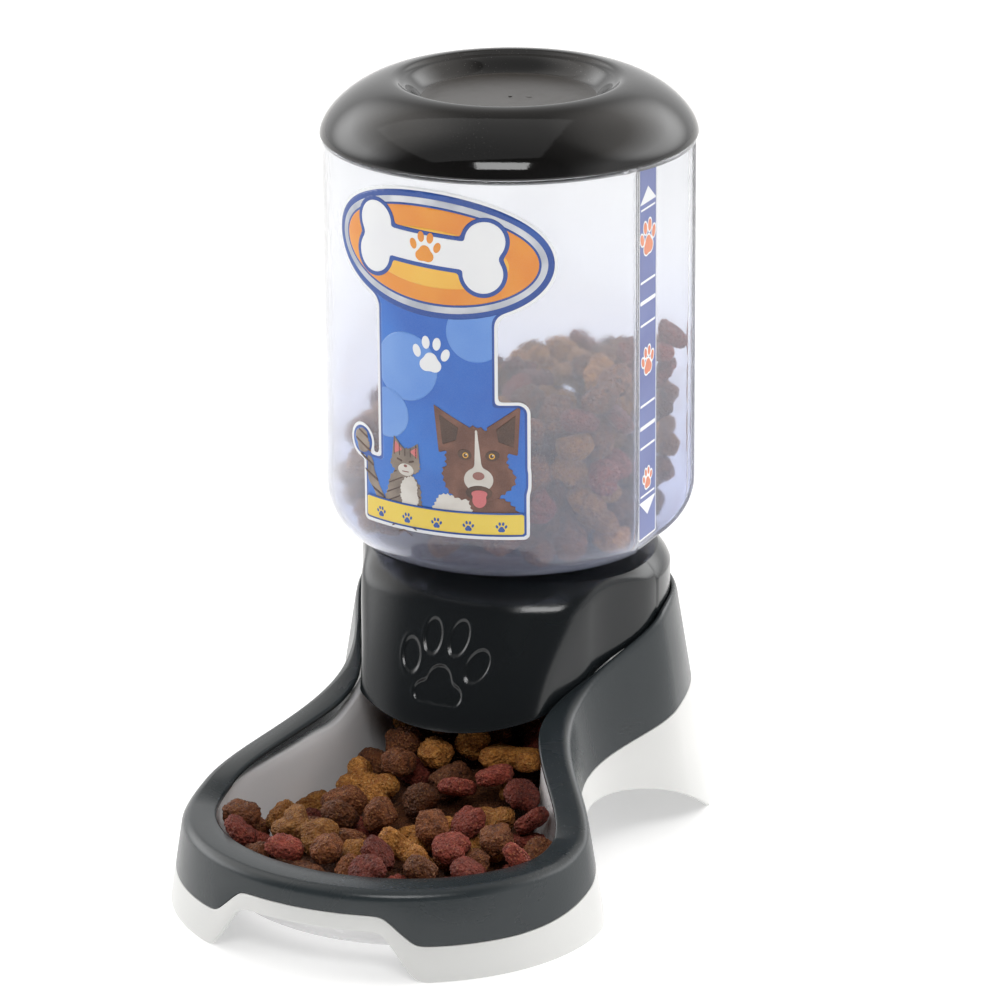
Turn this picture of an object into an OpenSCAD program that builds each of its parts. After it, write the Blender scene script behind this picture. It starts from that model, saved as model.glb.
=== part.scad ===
/* [Base] */
// Width of the base across the bowl, at the floor
base_w = 191; // [170:1:230]
// Reach of the bowl's front in front of its widest line
bowl_reach = 86; // [76:1:104]
// Distance from the tower's axis forward to the bowl's widest line
bowl_y = 125; // [116:1:150]
// Distance from the tower's axis forward to the waist
waist_y = 58; // [54:1:66]
// Half width of the waist, at the floor
waist_half = 68; // [64:0.5:74]
// Radius of the tower, at the floor
tower_r = 88; // [86:0.5:100]
// Inward lean of the outer walls, per millimetre of height
draft = 0.16; // [0.12:0.01:0.17]
// Wall of the moulded shells
wall = 2.4; // [1.8:0.1:3]

/* [Heights] */
// Height of the bowl's rim in front
rim_z = 38; // [34:0.5:46]
// Height of the shell's top edge at the back
back_z = 100; // [94:0.5:104]
// Height of the join between skirt and shell in front
seam_z = 15; // [12:0.5:17]
// Height of the join between skirt and shell at the back
seam_back_z = 57; // [48:0.5:62]
// Height of the hood's top deck
deck_z = 120; // [118:0.5:124]
// Height of the hood's front lip above the floor
lip_z = 60; // [54:0.5:66]

/* [Arches] */
// Height of the arch in front
front_arch_z = 21.5; // [12:0.5:24]
// Half width of the front arch at its top
front_arch_half = 34; // [20:0.5:40]
// Run of each sloping side of the front arch
front_arch_slope = 13; // [8:0.5:18]
// Height of the arch in each side
side_arch_z = 28; // [16:0.5:30]
// Half width of the low arch at the back
back_arch_half = 44; // [30:0.5:56]
// Height of the low arch at the back
back_arch_z = 10; // [6:0.5:20]

/* [Bowl] */
// Width of the shell's rim around the bowl
rim_band = 13.5; // [12:0.5:16]
// Thickness of the bowl tray
tray_t = 2.2; // [1.6:0.1:3]
// Height of the bowl's floor above the ground
bowl_floor_z = 5.5; // [4.5:0.5:8]
// Rise of the chute for each millimetre towards the back
chute_slope = 0.62; // [0.5:0.01:0.64]

/* [Container] */
// Outer diameter of the container
container_d = 160; // [150:1:170]
// Height of the container from its bottom to its shoulder
container_h = 180; // [120:1:220]
// Wall of the container
container_t = 2; // [1.6:0.1:2.6]
// Radius of the container's bottom corner
corner_r = 25; // [18:0.5:28]
// Outer radius of the outlet neck
neck_r = 40; // [36:0.5:41]
// Length of the outlet neck
neck_h = 28; // [20:0.5:32]
// Depth of the flat groove down the container's side
groove_depth = 16; // [8:0.5:18]
// Width of the groove's flat floor
groove_floor_w = 22; // [20:0.5:26]

/* [Lid] */
// Height of the lid's dome above the container's shoulder
lid_h = 23.5; // [20:0.5:34]
// Depth of the dish in the lid
dish_depth = 8; // [6:0.5:12]
// Radius of the dish's flat floor
dish_r = 39; // [30:0.5:44]
// How far the mouth band stands up inside the lid
mouth_h = 6; // [5:0.5:7]
// Wall of the lid
lid_t = 2.2; // [1.8:0.1:2.6]

/* [Fasteners] */
// Shank diameter of the screws
screw_d = 3; // [2.5:0.1:3.5]
// Outer diameter of the screw bosses
boss_d = 8; // [7:0.5:8.5]
// Diameter of the rubber feet
pad_d = 11; // [9:0.5:11.5]

/* [Fits] */
// Clearance between pieces that slide or nest
gap = 0.3; // [0.2:0.05:0.4]

/* [Hidden] */
$fn = 96;

// The walls lean in, so each end reaches furthest at the top of its arch
front_reach = bowl_y + bowl_reach - draft * front_arch_z;
back_reach = tower_r - draft * back_arch_z;
// The origin is on the floor, in the middle of the object's box
tower_y = (front_reach - back_reach) / 2;
half_w = base_w / 2;
// Angles on the bowl's ellipse at which the front arch's corners lie
arch_a = asin(front_arch_half / half_w);
leg_a = asin((front_arch_half + front_arch_slope) / half_w);
rim_round = 4;
// Extra width of the rim at the very front
front_lip = 3.5;
// How far the tray reaches out under the rim
tray_lap = 1.5;
tongue_h = 3;
tongue_t = 1.6;
seam_gap = 0.25;
tray_neck_r = neck_r + 4.1;
tray_top_z = 90;
hood_r = tower_r - draft * back_z - wall + gap;
hood_front = 80;
hood_deck_front = 53;
hood_power = 2.5;
// Reveal between the hood and the shell's rim
flank_gap = 0.6;
collar_t = 3;
collar_r = neck_r + gap;
collar_low_z = deck_z - 34;
seat_z = deck_z + 5;
container_r = container_d / 2;
shoulder_z = seat_z + gap + container_h;
groove_x = container_r - groove_depth;
// Sideways run of the groove's flanks for each millimetre of depth
groove_flare = 2;
lid_r = container_r + 0.8;
// The lip round the dish, and the run of the dome from there out to the lid's edge
dish_lip_r = dish_r + 9;
dome_r = lid_r - dish_lip_r - 2;
// The mouth band stands where the dome is high enough above it
mouth_r = lid_r - 0.2208 * dome_r;
lid_z = shoulder_z + gap;
seal_d = 2;
label_t = 0.25;
screw_l = 16;
head_d = 5.6;
head_h = 2;
post_d = 13;
post_z = 12;
pad_t = 2;

// Ease from 0 to 1 as t runs from 0 to 1
function ease(t) = (1 - cos(180 * max(0, min(1, t)))) / 2;
// Half width of the base at the floor, y measured from the tower's axis
function half_at(y) =
    y < -bowl_y ? half_w * sqrt(max(0, 1 - pow((y + bowl_y) / bowl_reach, 2)))
    : y < -waist_y ? half_w - (half_w - waist_half) * ease((y + bowl_y) / (bowl_y - waist_y))
    : y < 0 ? waist_half + (tower_r - waist_half) * ease((y + waist_y) / waist_y)
    : sqrt(max(0, tower_r * tower_r - y * y));
// Length of the outline for each millimetre along y, so that insets stay true at the waist
function slope_factor(y) = norm([1, (half_at(y + 1) - half_at(y - 1)) / 2]);
// Height of the shell's top edge, which sweeps up from the bowl to the tower
function ridge_at(y) = rim_z + (back_z - rim_z) * ease((y + 150) / 170);
// Height of the join between the white skirt and the dark shell
function sweep_at(y) = seam_z + (seam_back_z - seam_z) * ease((y + 175) / 210);
function arch_step(x) = min(1, max(0, (front_arch_half + front_arch_slope - abs(x)) / front_arch_slope));
function seam_at(p) =
    p[1] < -bowl_y - bowl_reach / 2 ? sweep_at(p[1]) + 13 * arch_step(p[0]) : sweep_at(p[1]);
// Height of the skirt's lower edge: feet on the floor, arches between them
function foot_at(p) =
    p[1] < -bowl_y - bowl_reach / 2 ? front_arch_z * arch_step(p[0])
    : p[1] > tower_r / 2 ? back_arch_z * cos(90 * min(1, abs(p[0]) / back_arch_half))
    : p[1] < -50 ? side_arch_z * max(0, cos(90 * min(1, (-50 - p[1]) / 66)))
    : side_arch_z * max(0, cos(90 * min(1, (p[1] + 50) / 74)));
// Width of the shell's rim: broad round the bowl, only the wall beside the hood
function band_at(y) = wall + (rim_band - wall) * ease((-38 - y) / 34);

function mirror_loop(r) = concat(r, [for (i = [len(r) - 2:-1:1]) [-r[i][0], r[i][1]]]);
function front_angles() = concat(
    [for (i = [0:4]) i * arch_a / 4],
    [for (i = [1:2]) arch_a + i * (leg_a - arch_a) / 2],
    [for (i = [1:9]) leg_a + i * (90 - leg_a) / 9]
);
base_side = concat(
    [for (a = front_angles()) [half_w * sin(a), -bowl_y - bowl_reach * cos(a)]],
    [for (i = [1:8]) let (y = -bowl_y + i * (bowl_y - waist_y) / 8) [half_at(y), y]],
    [for (i = [1:7]) let (y = -waist_y + i * waist_y / 7) [half_at(y), y]],
    [for (i = [1:13]) [tower_r * cos(i * 90 / 13), tower_r * sin(i * 90 / 13)]]
);
base_loop = mirror_loop(base_side);

// Unit vector pointing inwards at point i of a loop that runs anticlockwise
function inward(loop, i) =
    let (n = len(loop), t = loop[(i + 1) % n] - loop[(i + n - 1) % n])
    [-t[1], t[0]] / norm(t);
function inset(loop, i, d) = loop[i] + inward(loop, i) * d;

// Closed ring: n sections of k points each
function ring_faces(n, k) = [
    for (i = [0:n - 1]) for (j = [0:k - 1])
        let (a = i * k + j, b = i * k + (j + 1) % k, c = ((i + 1) % n) * k)
        each [[a, c + (j + 1) % k, c + j], [a, b, c + (j + 1) % k]]
];
module ring(sections) {
    polyhedron(
        points = [for (s = sections) each s],
        faces = ring_faces(len(sections), len(sections[0])),
        convexity = 8
    );
}
// Section points are given as [inset from the floor outline, height]
function base_section(i, profile) = [
    for (q = profile) let (p = inset(base_loop, i, q[0])) [p[0], p[1], q[1]]
];
module at_tower() {
    translate([0, tower_y, 0]) children();
}

// Places of the four posts that hold skirt and shell together
// The front posts stand clear of the wall of the shell
post_inset = wall + 9.1;
front_post = [(half_w - post_inset) * sin(47), -bowl_y - (bowl_reach - post_inset) * cos(47)];
back_post_r = tower_r - 19.5;
back_post = [back_post_r * cos(38), back_post_r * sin(38)];
posts = [front_post, [-front_post[0], front_post[1]], back_post, [-back_post[0], back_post[1]]];
function lean(z) = draft * z;

// White skirt: outer wall from the floor to the join, with the feet and arches
function skirt_profile(p) =
    let (lo = foot_at(p), hi = seam_at(p))
    [
        [lean(lo), lo],
        [lean(hi), hi],
        [lean(hi + tongue_h) + wall + gap, hi],
        [lean(hi + tongue_h) + wall + gap, hi + tongue_h],
        [lean(hi + tongue_h) + wall + gap + tongue_t, hi + tongue_h],
        [lean(hi + tongue_h) + wall + gap + tongue_t, hi - 2],
        [lean(hi) + wall, hi - 4],
        [lean(lo) + wall, lo]
    ];
// Post with a screw hole, a recess for the screw's head and a rubber foot below
module post(top_z) {
    difference() {
        translate([0, 0, 1]) cylinder(d = post_d, h = top_z - 1);
        translate([0, 0, -1]) cylinder(d = screw_d + 0.6, h = top_z + 2);
        translate([0, 0, -1]) cylinder(d = head_d + 0.8, h = top_z - 2);
        translate([0, 0, 0]) cylinder(d = pad_d + 2 * gap, h = pad_t);
    }
}
module post_rib(p, top_z, reach_low, reach_high) {
    dir = p[1] < 0 ? atan2((p[1] + bowl_y) * half_w / bowl_reach, p[0]) : atan2(p[1], p[0]);
    translate([p[0], p[1], 0]) rotate([0, 0, dir]) rotate([90, 0, 0])
        translate([0, 0, -1]) linear_extrude(2)
            polygon([[post_d / 2 - 1, 2], [reach_low, 2], [reach_high, top_z - 1], [post_d / 2 - 1, top_z - 1]]);
}
back_post_z = seam_back_z - 8;
module base_skirt() {
    color("white") at_tower() {
        ring([for (i = [0:len(base_loop) - 1]) base_section(i, skirt_profile(base_loop[i]))]);
        for (p = posts) {
            top = p[1] < 0 ? post_z : back_post_z;
            translate([p[0], p[1], 0]) post(top);
            if (p[1] < 0) post_rib(p, top, post_inset - 1.5, post_inset - 2.5);
            if (p[1] > 0) post_rib(p, top, 18.5, 18.5 - lean(top));
        }
    }
}

// Rubber feet pressed into the posts
module foot_pads() {
    color("dimgray") at_tower()
        for (p = posts)
            translate([p[0], p[1], 0]) cylinder(d = pad_d, h = pad_t);
}

// White tray: the bowl in front and the chute that rises under the outlet
tray_half_w = half_w - lean(rim_z) - rim_band + tray_lap;
tray_reach = bowl_reach - lean(rim_z) - rim_band - front_lip + tray_lap;
function tray_half(y) = half_at(y) - (lean(ridge_at(y)) + rim_band) * slope_factor(y) + tray_lap;
tray_side = concat(
    [for (i = [0:12]) [tray_half_w * sin(i * 7.5), -bowl_y - tray_reach * cos(i * 7.5)]],
    [for (i = [1:12]) let (y = -bowl_y + i * bowl_y / 12)
        [y < -waist_y ? tray_half(y) : min(tray_half(y), tray_neck_r), y]],
    [for (i = [1:9]) [tray_neck_r * cos(i * 10), tray_neck_r * sin(i * 10)]]
);
tray_loop = mirror_loop(tray_side);
// The tray's edge lies under the rim, and lower still where the hood comes down beside it
function tray_top(y) = min(ridge_at(y) - wall - 0.7 - gap - hood_drop * ease((y + 90) / 14), tray_top_z);
function tray_floor(y) = bowl_floor_z + chute_slope * max(0, y + 70);
tray_wall = [[0, 1], [1, 0.7], [2, 0.4], [4, 0.12], [8, 0]];
// The tray's flange rests under the rim, short of the shell's outer wall
flange_w = rim_band - 9.5;
hood_drop = 3.2;
function tray_chain(i) =
    let (
        y = tray_loop[i][1],
        top = tray_top(y),
        depth = function (d) tray_floor(inset(tray_loop, i, d)[1]),
        at = function (d, z) let (p = inset(tray_loop, i, d)) [p[0], p[1], z]
    )
    concat(
        [for (j = [len(tray_wall) - 1:-1:0]) let (w = tray_wall[j], f = depth(w[0]))
            at(w[0], f + (top - f) * w[1])],
        [at(-flange_w, top), at(-flange_w, top - tray_t)],
        [for (w = tray_wall) let (f = depth(w[0]))
            at(w[0] - tray_t * (1 - w[0] / 8), f + (top - f) * w[1] - tray_t)]
    );
module bowl_tray() {
    n = len(tray_loop);
    half = n / 2;
    k = 2 * len(tray_wall) + 2;
    walls = [
        for (i = [0:n - 1]) for (j = [0:k - 2])
            let (a = i * k + j, c = ((i + 1) % n) * k + j)
            each [[a, c, c + 1], [a, c + 1, a + 1]]
    ];
    top_floor = [
        for (i = [0:half - 1])
            let (a = i * k, b = (i + 1) * k, c = (n - i - 1) * k, d = ((n - i) % n) * k)
            each i == 0 ? [[a, c, b]] : i == half - 1 ? [[a, d, b]] : [[a, d, c], [a, c, b]]
    ];
    under_floor = [for (f = top_floor) [f[0] + k - 1, f[2] + k - 1, f[1] + k - 1]];
    color("whitesmoke") at_tower()
        polyhedron(
            points = [for (i = [0:n - 1]) each tray_chain(i)],
            faces = concat(walls, top_floor, under_floor),
            convexity = 8
        );
}

// Dark shell: side walls, the rim round the bowl and the sweep up to the tower
function shell_profile(i) =
    let (
        p = base_loop[i],
        lo = seam_at(p) + seam_gap,
        hi = ridge_at(p[1]),
        band = band_at(p[1]) + (p[1] < -bowl_y ? front_lip * pow((p[1] + bowl_y) / bowl_reach, 2) : 0),
        crest = min(rim_round, band * 0.45)
    )
    [
        [lean(lo), lo],
        [lean(hi - rim_round), hi - rim_round],
        [lean(hi) + crest * 0.12, hi - rim_round * 0.5],
        [lean(hi) + crest * 0.42, hi - rim_round * 0.14],
        [lean(hi) + crest, hi],
        [lean(hi) + band, hi - 0.5],
        [lean(hi) + band + 0.01, hi - 0.5 - wall],
        [lean(hi) + wall + (band - wall) * 0.15, hi - 0.6 - wall],
        [lean(hi) + wall + 0.02, hi - 1.4 - wall - crest * 0.4],
        [lean(lo) + wall, lo]
    ];
module boss(low_z, high_z) {
    difference() {
        translate([0, 0, low_z]) cylinder(d = boss_d, h = high_z - low_z);
        translate([0, 0, low_z - 1]) cylinder(d = screw_d, h = screw_l);
    }
}
// Lugs inside the shell's back wall that carry the hood
lug_z = back_z - 14;
lug_t = 3;
lug_r = tower_r - draft * back_z - 12.5;
lug_angles = [20, 68, 112, 160];
module hood_lug() {
    difference() {
        union() {
            translate([lug_r, 0, lug_z]) cylinder(d = boss_d + 2, h = lug_t);
            translate([lug_r, -boss_d / 2 - 1, lug_z])
                cube([tower_r - lean(lug_z) - wall / 2 - lug_r - 0.4, boss_d + 2, lug_t]);
        }
        translate([lug_r, 0, lug_z - 1]) cylinder(d = screw_d + 0.6, h = lug_t + 2);
    }
}
module rim_shell() {
    color("darkslategray") at_tower() {
        ring([for (i = [0:len(base_loop) - 1]) base_section(i, shell_profile(i))]);
        for (p = posts)
            translate([p[0], p[1], 0])
                if (p[1] < 0) boss(post_z + gap, rim_z - wall + 0.3);
                else boss(back_post_z + gap, back_z - 8);
        for (a = lug_angles) rotate([0, 0, a]) hood_lug();
    }
}

// Screws that rise through the skirt's posts into the shell
module screw(head_z) {
    translate([0, 0, head_z]) cylinder(d = head_d, h = head_h);
    translate([0, 0, head_z + head_h - 0.1]) cylinder(d = screw_d - 0.04, h = screw_l - 2);
}
module shell_screws() {
    color("silver") at_tower()
        for (p = posts)
            translate([p[0], p[1], 0]) screw((p[1] < 0 ? post_z : back_post_z) - 3 - head_h);
}

// Hood: the cap over the tower, with the snout that overhangs the bowl
function hood_half_x(z) = hood_r - 1.8 + 1.8 * ease((z - 60) / 40) - 6 * pow(max(0, (z - 109) / 11), 2);
function hood_half_y(z) =
    hood_front - (hood_front - hood_deck_front) * pow(max(0, (z - lip_z) / (deck_z - lip_z)), 1.2)
    - 6 * pow(max(0, (z - 109) / 11), 2);
// Inside face of the shell beside the hood, which the hood's flanks follow
function flank_at(y) = half_at(y) - (lean(ridge_at(y)) + band_at(y) + gap + flank_gap) * slope_factor(y);
function hood_point(a, z, d) =
    a > 180
    ? let (
        ax = hood_half_x(z) - d,
        by = hood_half_y(z) - d,
        y = -by * pow(abs(sin(a)), 2 / hood_power),
        x = ax * pow(abs(cos(a)), 2 / hood_power)
    ) [sign(cos(a)) * min(x, flank_at(y) - d), y, z]
    : let (r = min(hood_half_x(z), tower_r - lean(back_z) - wall - gap) - d) [r * cos(a), r * sin(a), z];
hood_corner_x = flank_at(-waist_y);
function hood_low(a) =
    let (p = hood_point(a, lip_z + 4, 0))
    p[1] > -waist_y ? ridge_at(p[1]) - 4
    : lip_z + (ridge_at(-waist_y) - 4 - lip_z) * pow(min(1, abs(p[0]) / hood_corner_x), 2);
hood_steps = [0, 0.2, 0.4, 0.6, 0.8, 1];
function hood_outer_z(a) = let (lo = hood_low(a)) concat(
    [for (t = hood_steps) lo + (deck_z - 13 - lo) * t], [deck_z - 8, deck_z - 4, deck_z - 1.5, deck_z]
);
function hood_section(a) =
    let (zs = hood_outer_z(a), n = len(zs), hole = collar_r + collar_t / 2)
    concat(
        [for (z = zs) hood_point(a, z, 0)],
        [
            [hole * cos(a), hole * sin(a), deck_z],
            [hole * cos(a), hole * sin(a), deck_z - wall]
        ],
        [for (j = [n - 3:-1:0]) hood_point(a, min(zs[j], deck_z - wall - 1.2), wall)]
    );
hood_angles = concat(
    [for (i = [0:15]) i * 12],
    [for (i = [1:35]) 180 + 180 * ease(i / 36 * 0.6 + 0.2 * (1 - cos(180 * i / 36)))]
);
module collar() {
    translate([0, 0, collar_low_z]) difference() {
        cylinder(r = collar_r + collar_t, h = seat_z - collar_low_z);
        translate([0, 0, -1]) cylinder(r = collar_r, h = seat_z - collar_low_z + 2);
    }
}
module hood_boss() {
    low = lug_z + lug_t + gap;
    difference() {
        translate([lug_r, 0, low]) cylinder(d = boss_d, h = deck_z - wall / 2 - low);
        translate([lug_r, 0, low - 1]) cylinder(d = screw_d, h = screw_l);
    }
}
module hood() {
    color("#23292b") at_tower() {
        ring([for (a = hood_angles) hood_section(a)]);
        collar();
        for (a = lug_angles) rotate([0, 0, a]) hood_boss();
    }
}
module hood_screws() {
    color("silver") at_tower()
        for (a = lug_angles)
            rotate([0, 0, a]) translate([lug_r, 0, 0]) screw(lug_z - head_h);
}

// Clear container: a bottle with a side groove, an open mouth above and an outlet neck below
container_z = seat_z + gap;
function bottle_profile(r, d) = [
    [0, container_z - neck_h + (d > 0 ? -1 : 0)],
    [neck_r - d, container_z - neck_h + (d > 0 ? -1 : 0)],
    [neck_r - d, container_z + d],
    [r - corner_r, container_z + d],
    for (a = [10:10:80]) [
        r - corner_r + (corner_r - d) * sin(a),
        container_z + corner_r - (corner_r - d) * cos(a)
    ],
    [r - d, container_z + corner_r],
    [r - d, shoulder_z - d],
    [mouth_r - d, shoulder_z - d],
    [mouth_r - d, shoulder_z + mouth_h + (d > 0 ? 1 : 0)],
    [0, shoulder_z + mouth_h + (d > 0 ? 1 : 0)]
];
module groove(grow) {
    x = groove_x - grow;
    reach = container_r + 8;
    half_low = groove_floor_w / 2 + grow * 0.5;
    half_top = half_low + (reach - x) * groove_flare;
    translate([0, 0, container_z - 1]) linear_extrude(container_h + 1 - (grow > 0 ? 0 : container_t))
        polygon([[x, -half_low], [reach, -half_top], [reach, half_top], [x, half_low]]);
}
module container() {
    color([0.85, 0.9, 0.95, 0.4]) at_tower() difference() {
        difference() {
            rotate_extrude() polygon(bottle_profile(container_r, 0));
            groove(0);
        }
        difference() {
            rotate_extrude() polygon(bottle_profile(container_r, container_t));
            groove(container_t);
        }
    }
}

// Sticker round the container's front: a badge, a stem and a broad foot
badge_z = shoulder_z - 32;
badge_w = 100;
badge_h = 58;
label_low_z = shoulder_z - 156;
module label_outline() {
    translate([0, badge_z]) scale([badge_w / badge_h, 1]) circle(d = badge_h);
    translate([-27, label_low_z + 40]) square([54, badge_z - label_low_z - 50]);
    translate([-40, label_low_z]) square([80, 46]);
}
module front_label() {
    color("royalblue") at_tower() intersection() {
        difference() {
            translate([0, 0, label_low_z - 5]) cylinder(r = container_r + label_t, h = 160);
            translate([0, 0, label_low_z - 6]) cylinder(r = container_r, h = 162);
        }
        translate([0, -container_r + 45, 0]) rotate([90, 0, 0]) linear_extrude(60) label_outline();
    }
}

// Narrow strip down the groove's floor that shows how full the container is
strip_w = 19;
module level_strip() {
    color("slateblue") at_tower()
        translate([groove_x, -strip_w / 2, container_z + 6])
            cube([label_t, strip_w, container_h - 9]);
}

// Lid: a domed cap with a dish in its top and a skirt over the mouth band
crest_z = lid_z + lid_h;
function dome_out(a) = [
    dish_lip_r + 2 + dome_r * pow(sin(a), 1.25),
    lid_z + lid_h * pow(cos(a), 1.25)
];
function dome_in(a) = dome_out(a) - [lid_t * (0.35 + 0.65 * sin(a)), lid_t * (1 - 0.2 * sin(a))];
function dish_side(a) = [
    dish_r - 2 + (dish_lip_r - dish_r) * a / 90,
    crest_z - dish_depth + (dish_depth - 2) * ease(a / 90)
];
module lid() {
    color("#15171a") at_tower() rotate_extrude() polygon(concat(
        [[0, crest_z - dish_depth], [dish_r - 2, crest_z - dish_depth]],
        [for (a = [15:15:75]) dish_side(a)],
        [[dish_lip_r - 2, crest_z - 1.4], [dish_lip_r, crest_z - 0.3]],
        [for (a = [0:9:90]) dome_out(a)],
        [[lid_r - lid_t, lid_z]],
        [for (a = [72:-9:0]) dome_in(a)],
        [[dish_lip_r - 1, crest_z - 1.6 - lid_t]],
        [for (a = [75:-15:15]) dish_side(a) + [lid_t * 0.7, -lid_t]],
        [[dish_r, crest_z - dish_depth - lid_t], [0, crest_z - dish_depth - lid_t]]
    ));
}
// Soft ring inside the lid that presses on top of the mouth band
module lid_seal() {
    color("gainsboro") at_tower() translate([0, 0, shoulder_z + mouth_h + 0.2]) difference() {
        cylinder(r = mouth_r - 0.4, h = seal_d);
        translate([0, 0, -1]) cylinder(r = mouth_r - 4, h = seal_d + 2);
    }
}

base_skirt();
foot_pads();
bowl_tray();
rim_shell();
shell_screws();
hood();
hood_screws();
container();
front_label();
level_strip();
lid();
lid_seal();
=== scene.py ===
import math
import bpy
import bmesh
import numpy as np
from mathutils import Matrix, Vector, noise


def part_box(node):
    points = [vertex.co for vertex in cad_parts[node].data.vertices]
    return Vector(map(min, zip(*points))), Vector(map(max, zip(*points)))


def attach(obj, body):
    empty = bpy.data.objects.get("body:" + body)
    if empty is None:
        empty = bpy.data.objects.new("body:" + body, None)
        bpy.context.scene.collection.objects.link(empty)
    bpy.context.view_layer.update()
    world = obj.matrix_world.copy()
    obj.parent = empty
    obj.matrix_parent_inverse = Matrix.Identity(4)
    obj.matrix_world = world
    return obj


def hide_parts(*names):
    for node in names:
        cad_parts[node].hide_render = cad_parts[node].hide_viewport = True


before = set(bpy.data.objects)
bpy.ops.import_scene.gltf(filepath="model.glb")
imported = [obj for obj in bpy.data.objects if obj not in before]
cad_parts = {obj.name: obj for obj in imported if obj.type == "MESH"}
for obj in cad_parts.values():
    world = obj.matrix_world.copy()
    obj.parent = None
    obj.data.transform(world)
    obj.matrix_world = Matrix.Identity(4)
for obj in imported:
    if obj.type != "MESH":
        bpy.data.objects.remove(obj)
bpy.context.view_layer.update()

print("frame loaded:", len(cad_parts), "nodes")

# Shapes below are worked out in millimetres round the tower's axis, then placed in the shared frame.
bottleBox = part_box("container")
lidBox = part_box("lid")
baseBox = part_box("base_skirt")
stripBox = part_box("level_strip")
mm = 0.001
towerY = (bottleBox[0].y + bottleBox[1].y) / 2 / mm

feeder = {
    "halfWidth": (baseBox[1].x - baseBox[0].x) / 2 / mm,
    "bowlReach": 86.0,
    "bowlY": 125.0,
    "waistY": 58.0,
    "waistHalf": 68.0,
    "towerRadius": 88.0,
    "lean": 0.16,  # inward lean of the outer walls for each millimetre of height
    "wall": 2.4,
    "rimHeight": 38.0,
    "backHeight": 100.0,
    "rimBand": 13.5,
    "seamFront": 15.0,
    "seamBack": 57.0,
    # where along y each change starts, and over what length it runs
    "ridgeRise": (-150, 170),
    "seamRise": (-175, 210),
    "bandGrow": (-38, 34),
}


# ---------- small mesh tools ----------

def ease(t):
    return (1 - math.cos(math.pi * max(0.0, min(1.0, t)))) / 2


def softClamp(t, k=0.18):
    # clamp to 0..1 with rounded corners
    low = (t + math.sqrt(t * t + k * k)) / 2
    return 1 - ((1 - low) + math.sqrt((1 - low) ** 2 + k * k)) / 2


def makeObject(name, points, faces, materials, faceSlots=None, sharpAt=38):
    # points in tower millimetres
    mesh = bpy.data.meshes.new(name)
    co = np.asarray(points, float)
    co = (co + np.array([0, towerY, 0])) * mm
    mesh.from_pydata(co.tolist(), [], faces)
    for material in materials:
        mesh.materials.append(material)
    if faceSlots is not None:
        mesh.polygons.foreach_set("material_index", faceSlots)
    tidy = bmesh.new()
    tidy.from_mesh(mesh)
    bmesh.ops.remove_doubles(tidy, verts=tidy.verts, dist=0.000005)
    bmesh.ops.recalc_face_normals(tidy, faces=tidy.faces)
    limit = math.radians(sharpAt)
    for edge in tidy.edges:
        edge.smooth = not (len(edge.link_faces) == 2 and edge.calc_face_angle(0) > limit)
    tidy.to_mesh(mesh)
    tidy.free()
    mesh.polygons.foreach_set("use_smooth", [True] * len(mesh.polygons))
    made = bpy.data.objects.new(name, mesh)
    bpy.context.scene.collection.objects.link(made)
    return made


def thicken(made, depth):
    # a wall grown inward from its outer face
    skin = made.modifiers.new("thickness", "SOLIDIFY")
    skin.thickness = depth * mm
    skin.offset = -1


def polar(r, a):
    return r * math.cos(a), r * math.sin(a)


def seenFrom(x, z, cx, cz, tilt):
    # (x, z) from (cx, cz), along axes turned by tilt degrees
    t = math.radians(tilt)
    return (x - cx) * math.cos(t) + (z - cz) * math.sin(t), -(x - cx) * math.sin(t) + (z - cz) * math.cos(t)


def loft(sections):
    # a tube of closed sections, the last one joined to the first
    n, k = len(sections), len(sections[0])
    points = [p for section in sections for p in section]
    faces = []
    for i in range(n):
        a, c = i * k, ((i + 1) % n) * k
        for j in range(k):
            j2 = (j + 1) % k
            faces.append((a + j, a + j2, c + j2, c + j))
    return points, faces


def turn(profile, steps=160, at=(0, 0)):
    # revolve (radius, height) points round an upright axis
    points, faces = [], []
    k = len(profile)
    for i in range(steps):
        a = 2 * math.pi * i / steps
        for r, z in profile:
            points.append((at[0] + r * math.cos(a), at[1] + r * math.sin(a), z))
    for i in range(steps):
        a, c = i * k, ((i + 1) % steps) * k
        for j in range(k):
            j2 = (j + 1) % k
            faces.append((a + j, c + j, c + j2, a + j2))
    return points, faces


def joinParts(parts):
    points, faces = [], []
    for partPoints, partFaces in parts:
        start = len(points)
        points += list(partPoints)
        faces += [tuple(start + v for v in f) for f in partFaces]
    return points, faces


def rounded(profile, radii, steps=3):
    # a closed profile with its corners rounded
    out = []
    n = len(profile)
    for i, (p, r) in enumerate(zip(profile, radii)):
        p = np.array(p, float)
        before = np.array(profile[i - 1], float) - p
        after = np.array(profile[(i + 1) % n], float) - p
        lb, la = np.linalg.norm(before), np.linalg.norm(after)
        r = min(r, 0.45 * lb, 0.45 * la)
        if r <= 0:
            out.append(tuple(p))
            continue
        a, b = p + before / lb * r, p + after / la * r
        for s in range(steps + 1):
            t = s / steps
            out.append(tuple(a * (1 - t) ** 2 + 2 * p * t * (1 - t) + b * t * t))
    return out


def spaced(points, count):
    # the same line with its points an even distance apart
    points = np.array(points, float)
    run = np.concatenate([[0], np.cumsum(np.linalg.norm(np.diff(points, axis=0), axis=1))])
    at = np.linspace(0, run[-1], count + 1)
    return np.stack([np.interp(at, run, points[:, k]) for k in range(2)], axis=1)


def mirrorLoop(side):
    side = [tuple(p) for p in side]
    return side + [(-x, y) for x, y in reversed(side[1:-1])]


def inwardOf(loop):
    pts = np.array(loop)
    along = np.roll(pts, -1, axis=0) - np.roll(pts, 1, axis=0)
    along /= np.linalg.norm(along, axis=1)[:, None]
    return np.stack([-along[:, 1], along[:, 0]], axis=1)


# ---------- shader groups that several finishes share ----------

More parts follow.
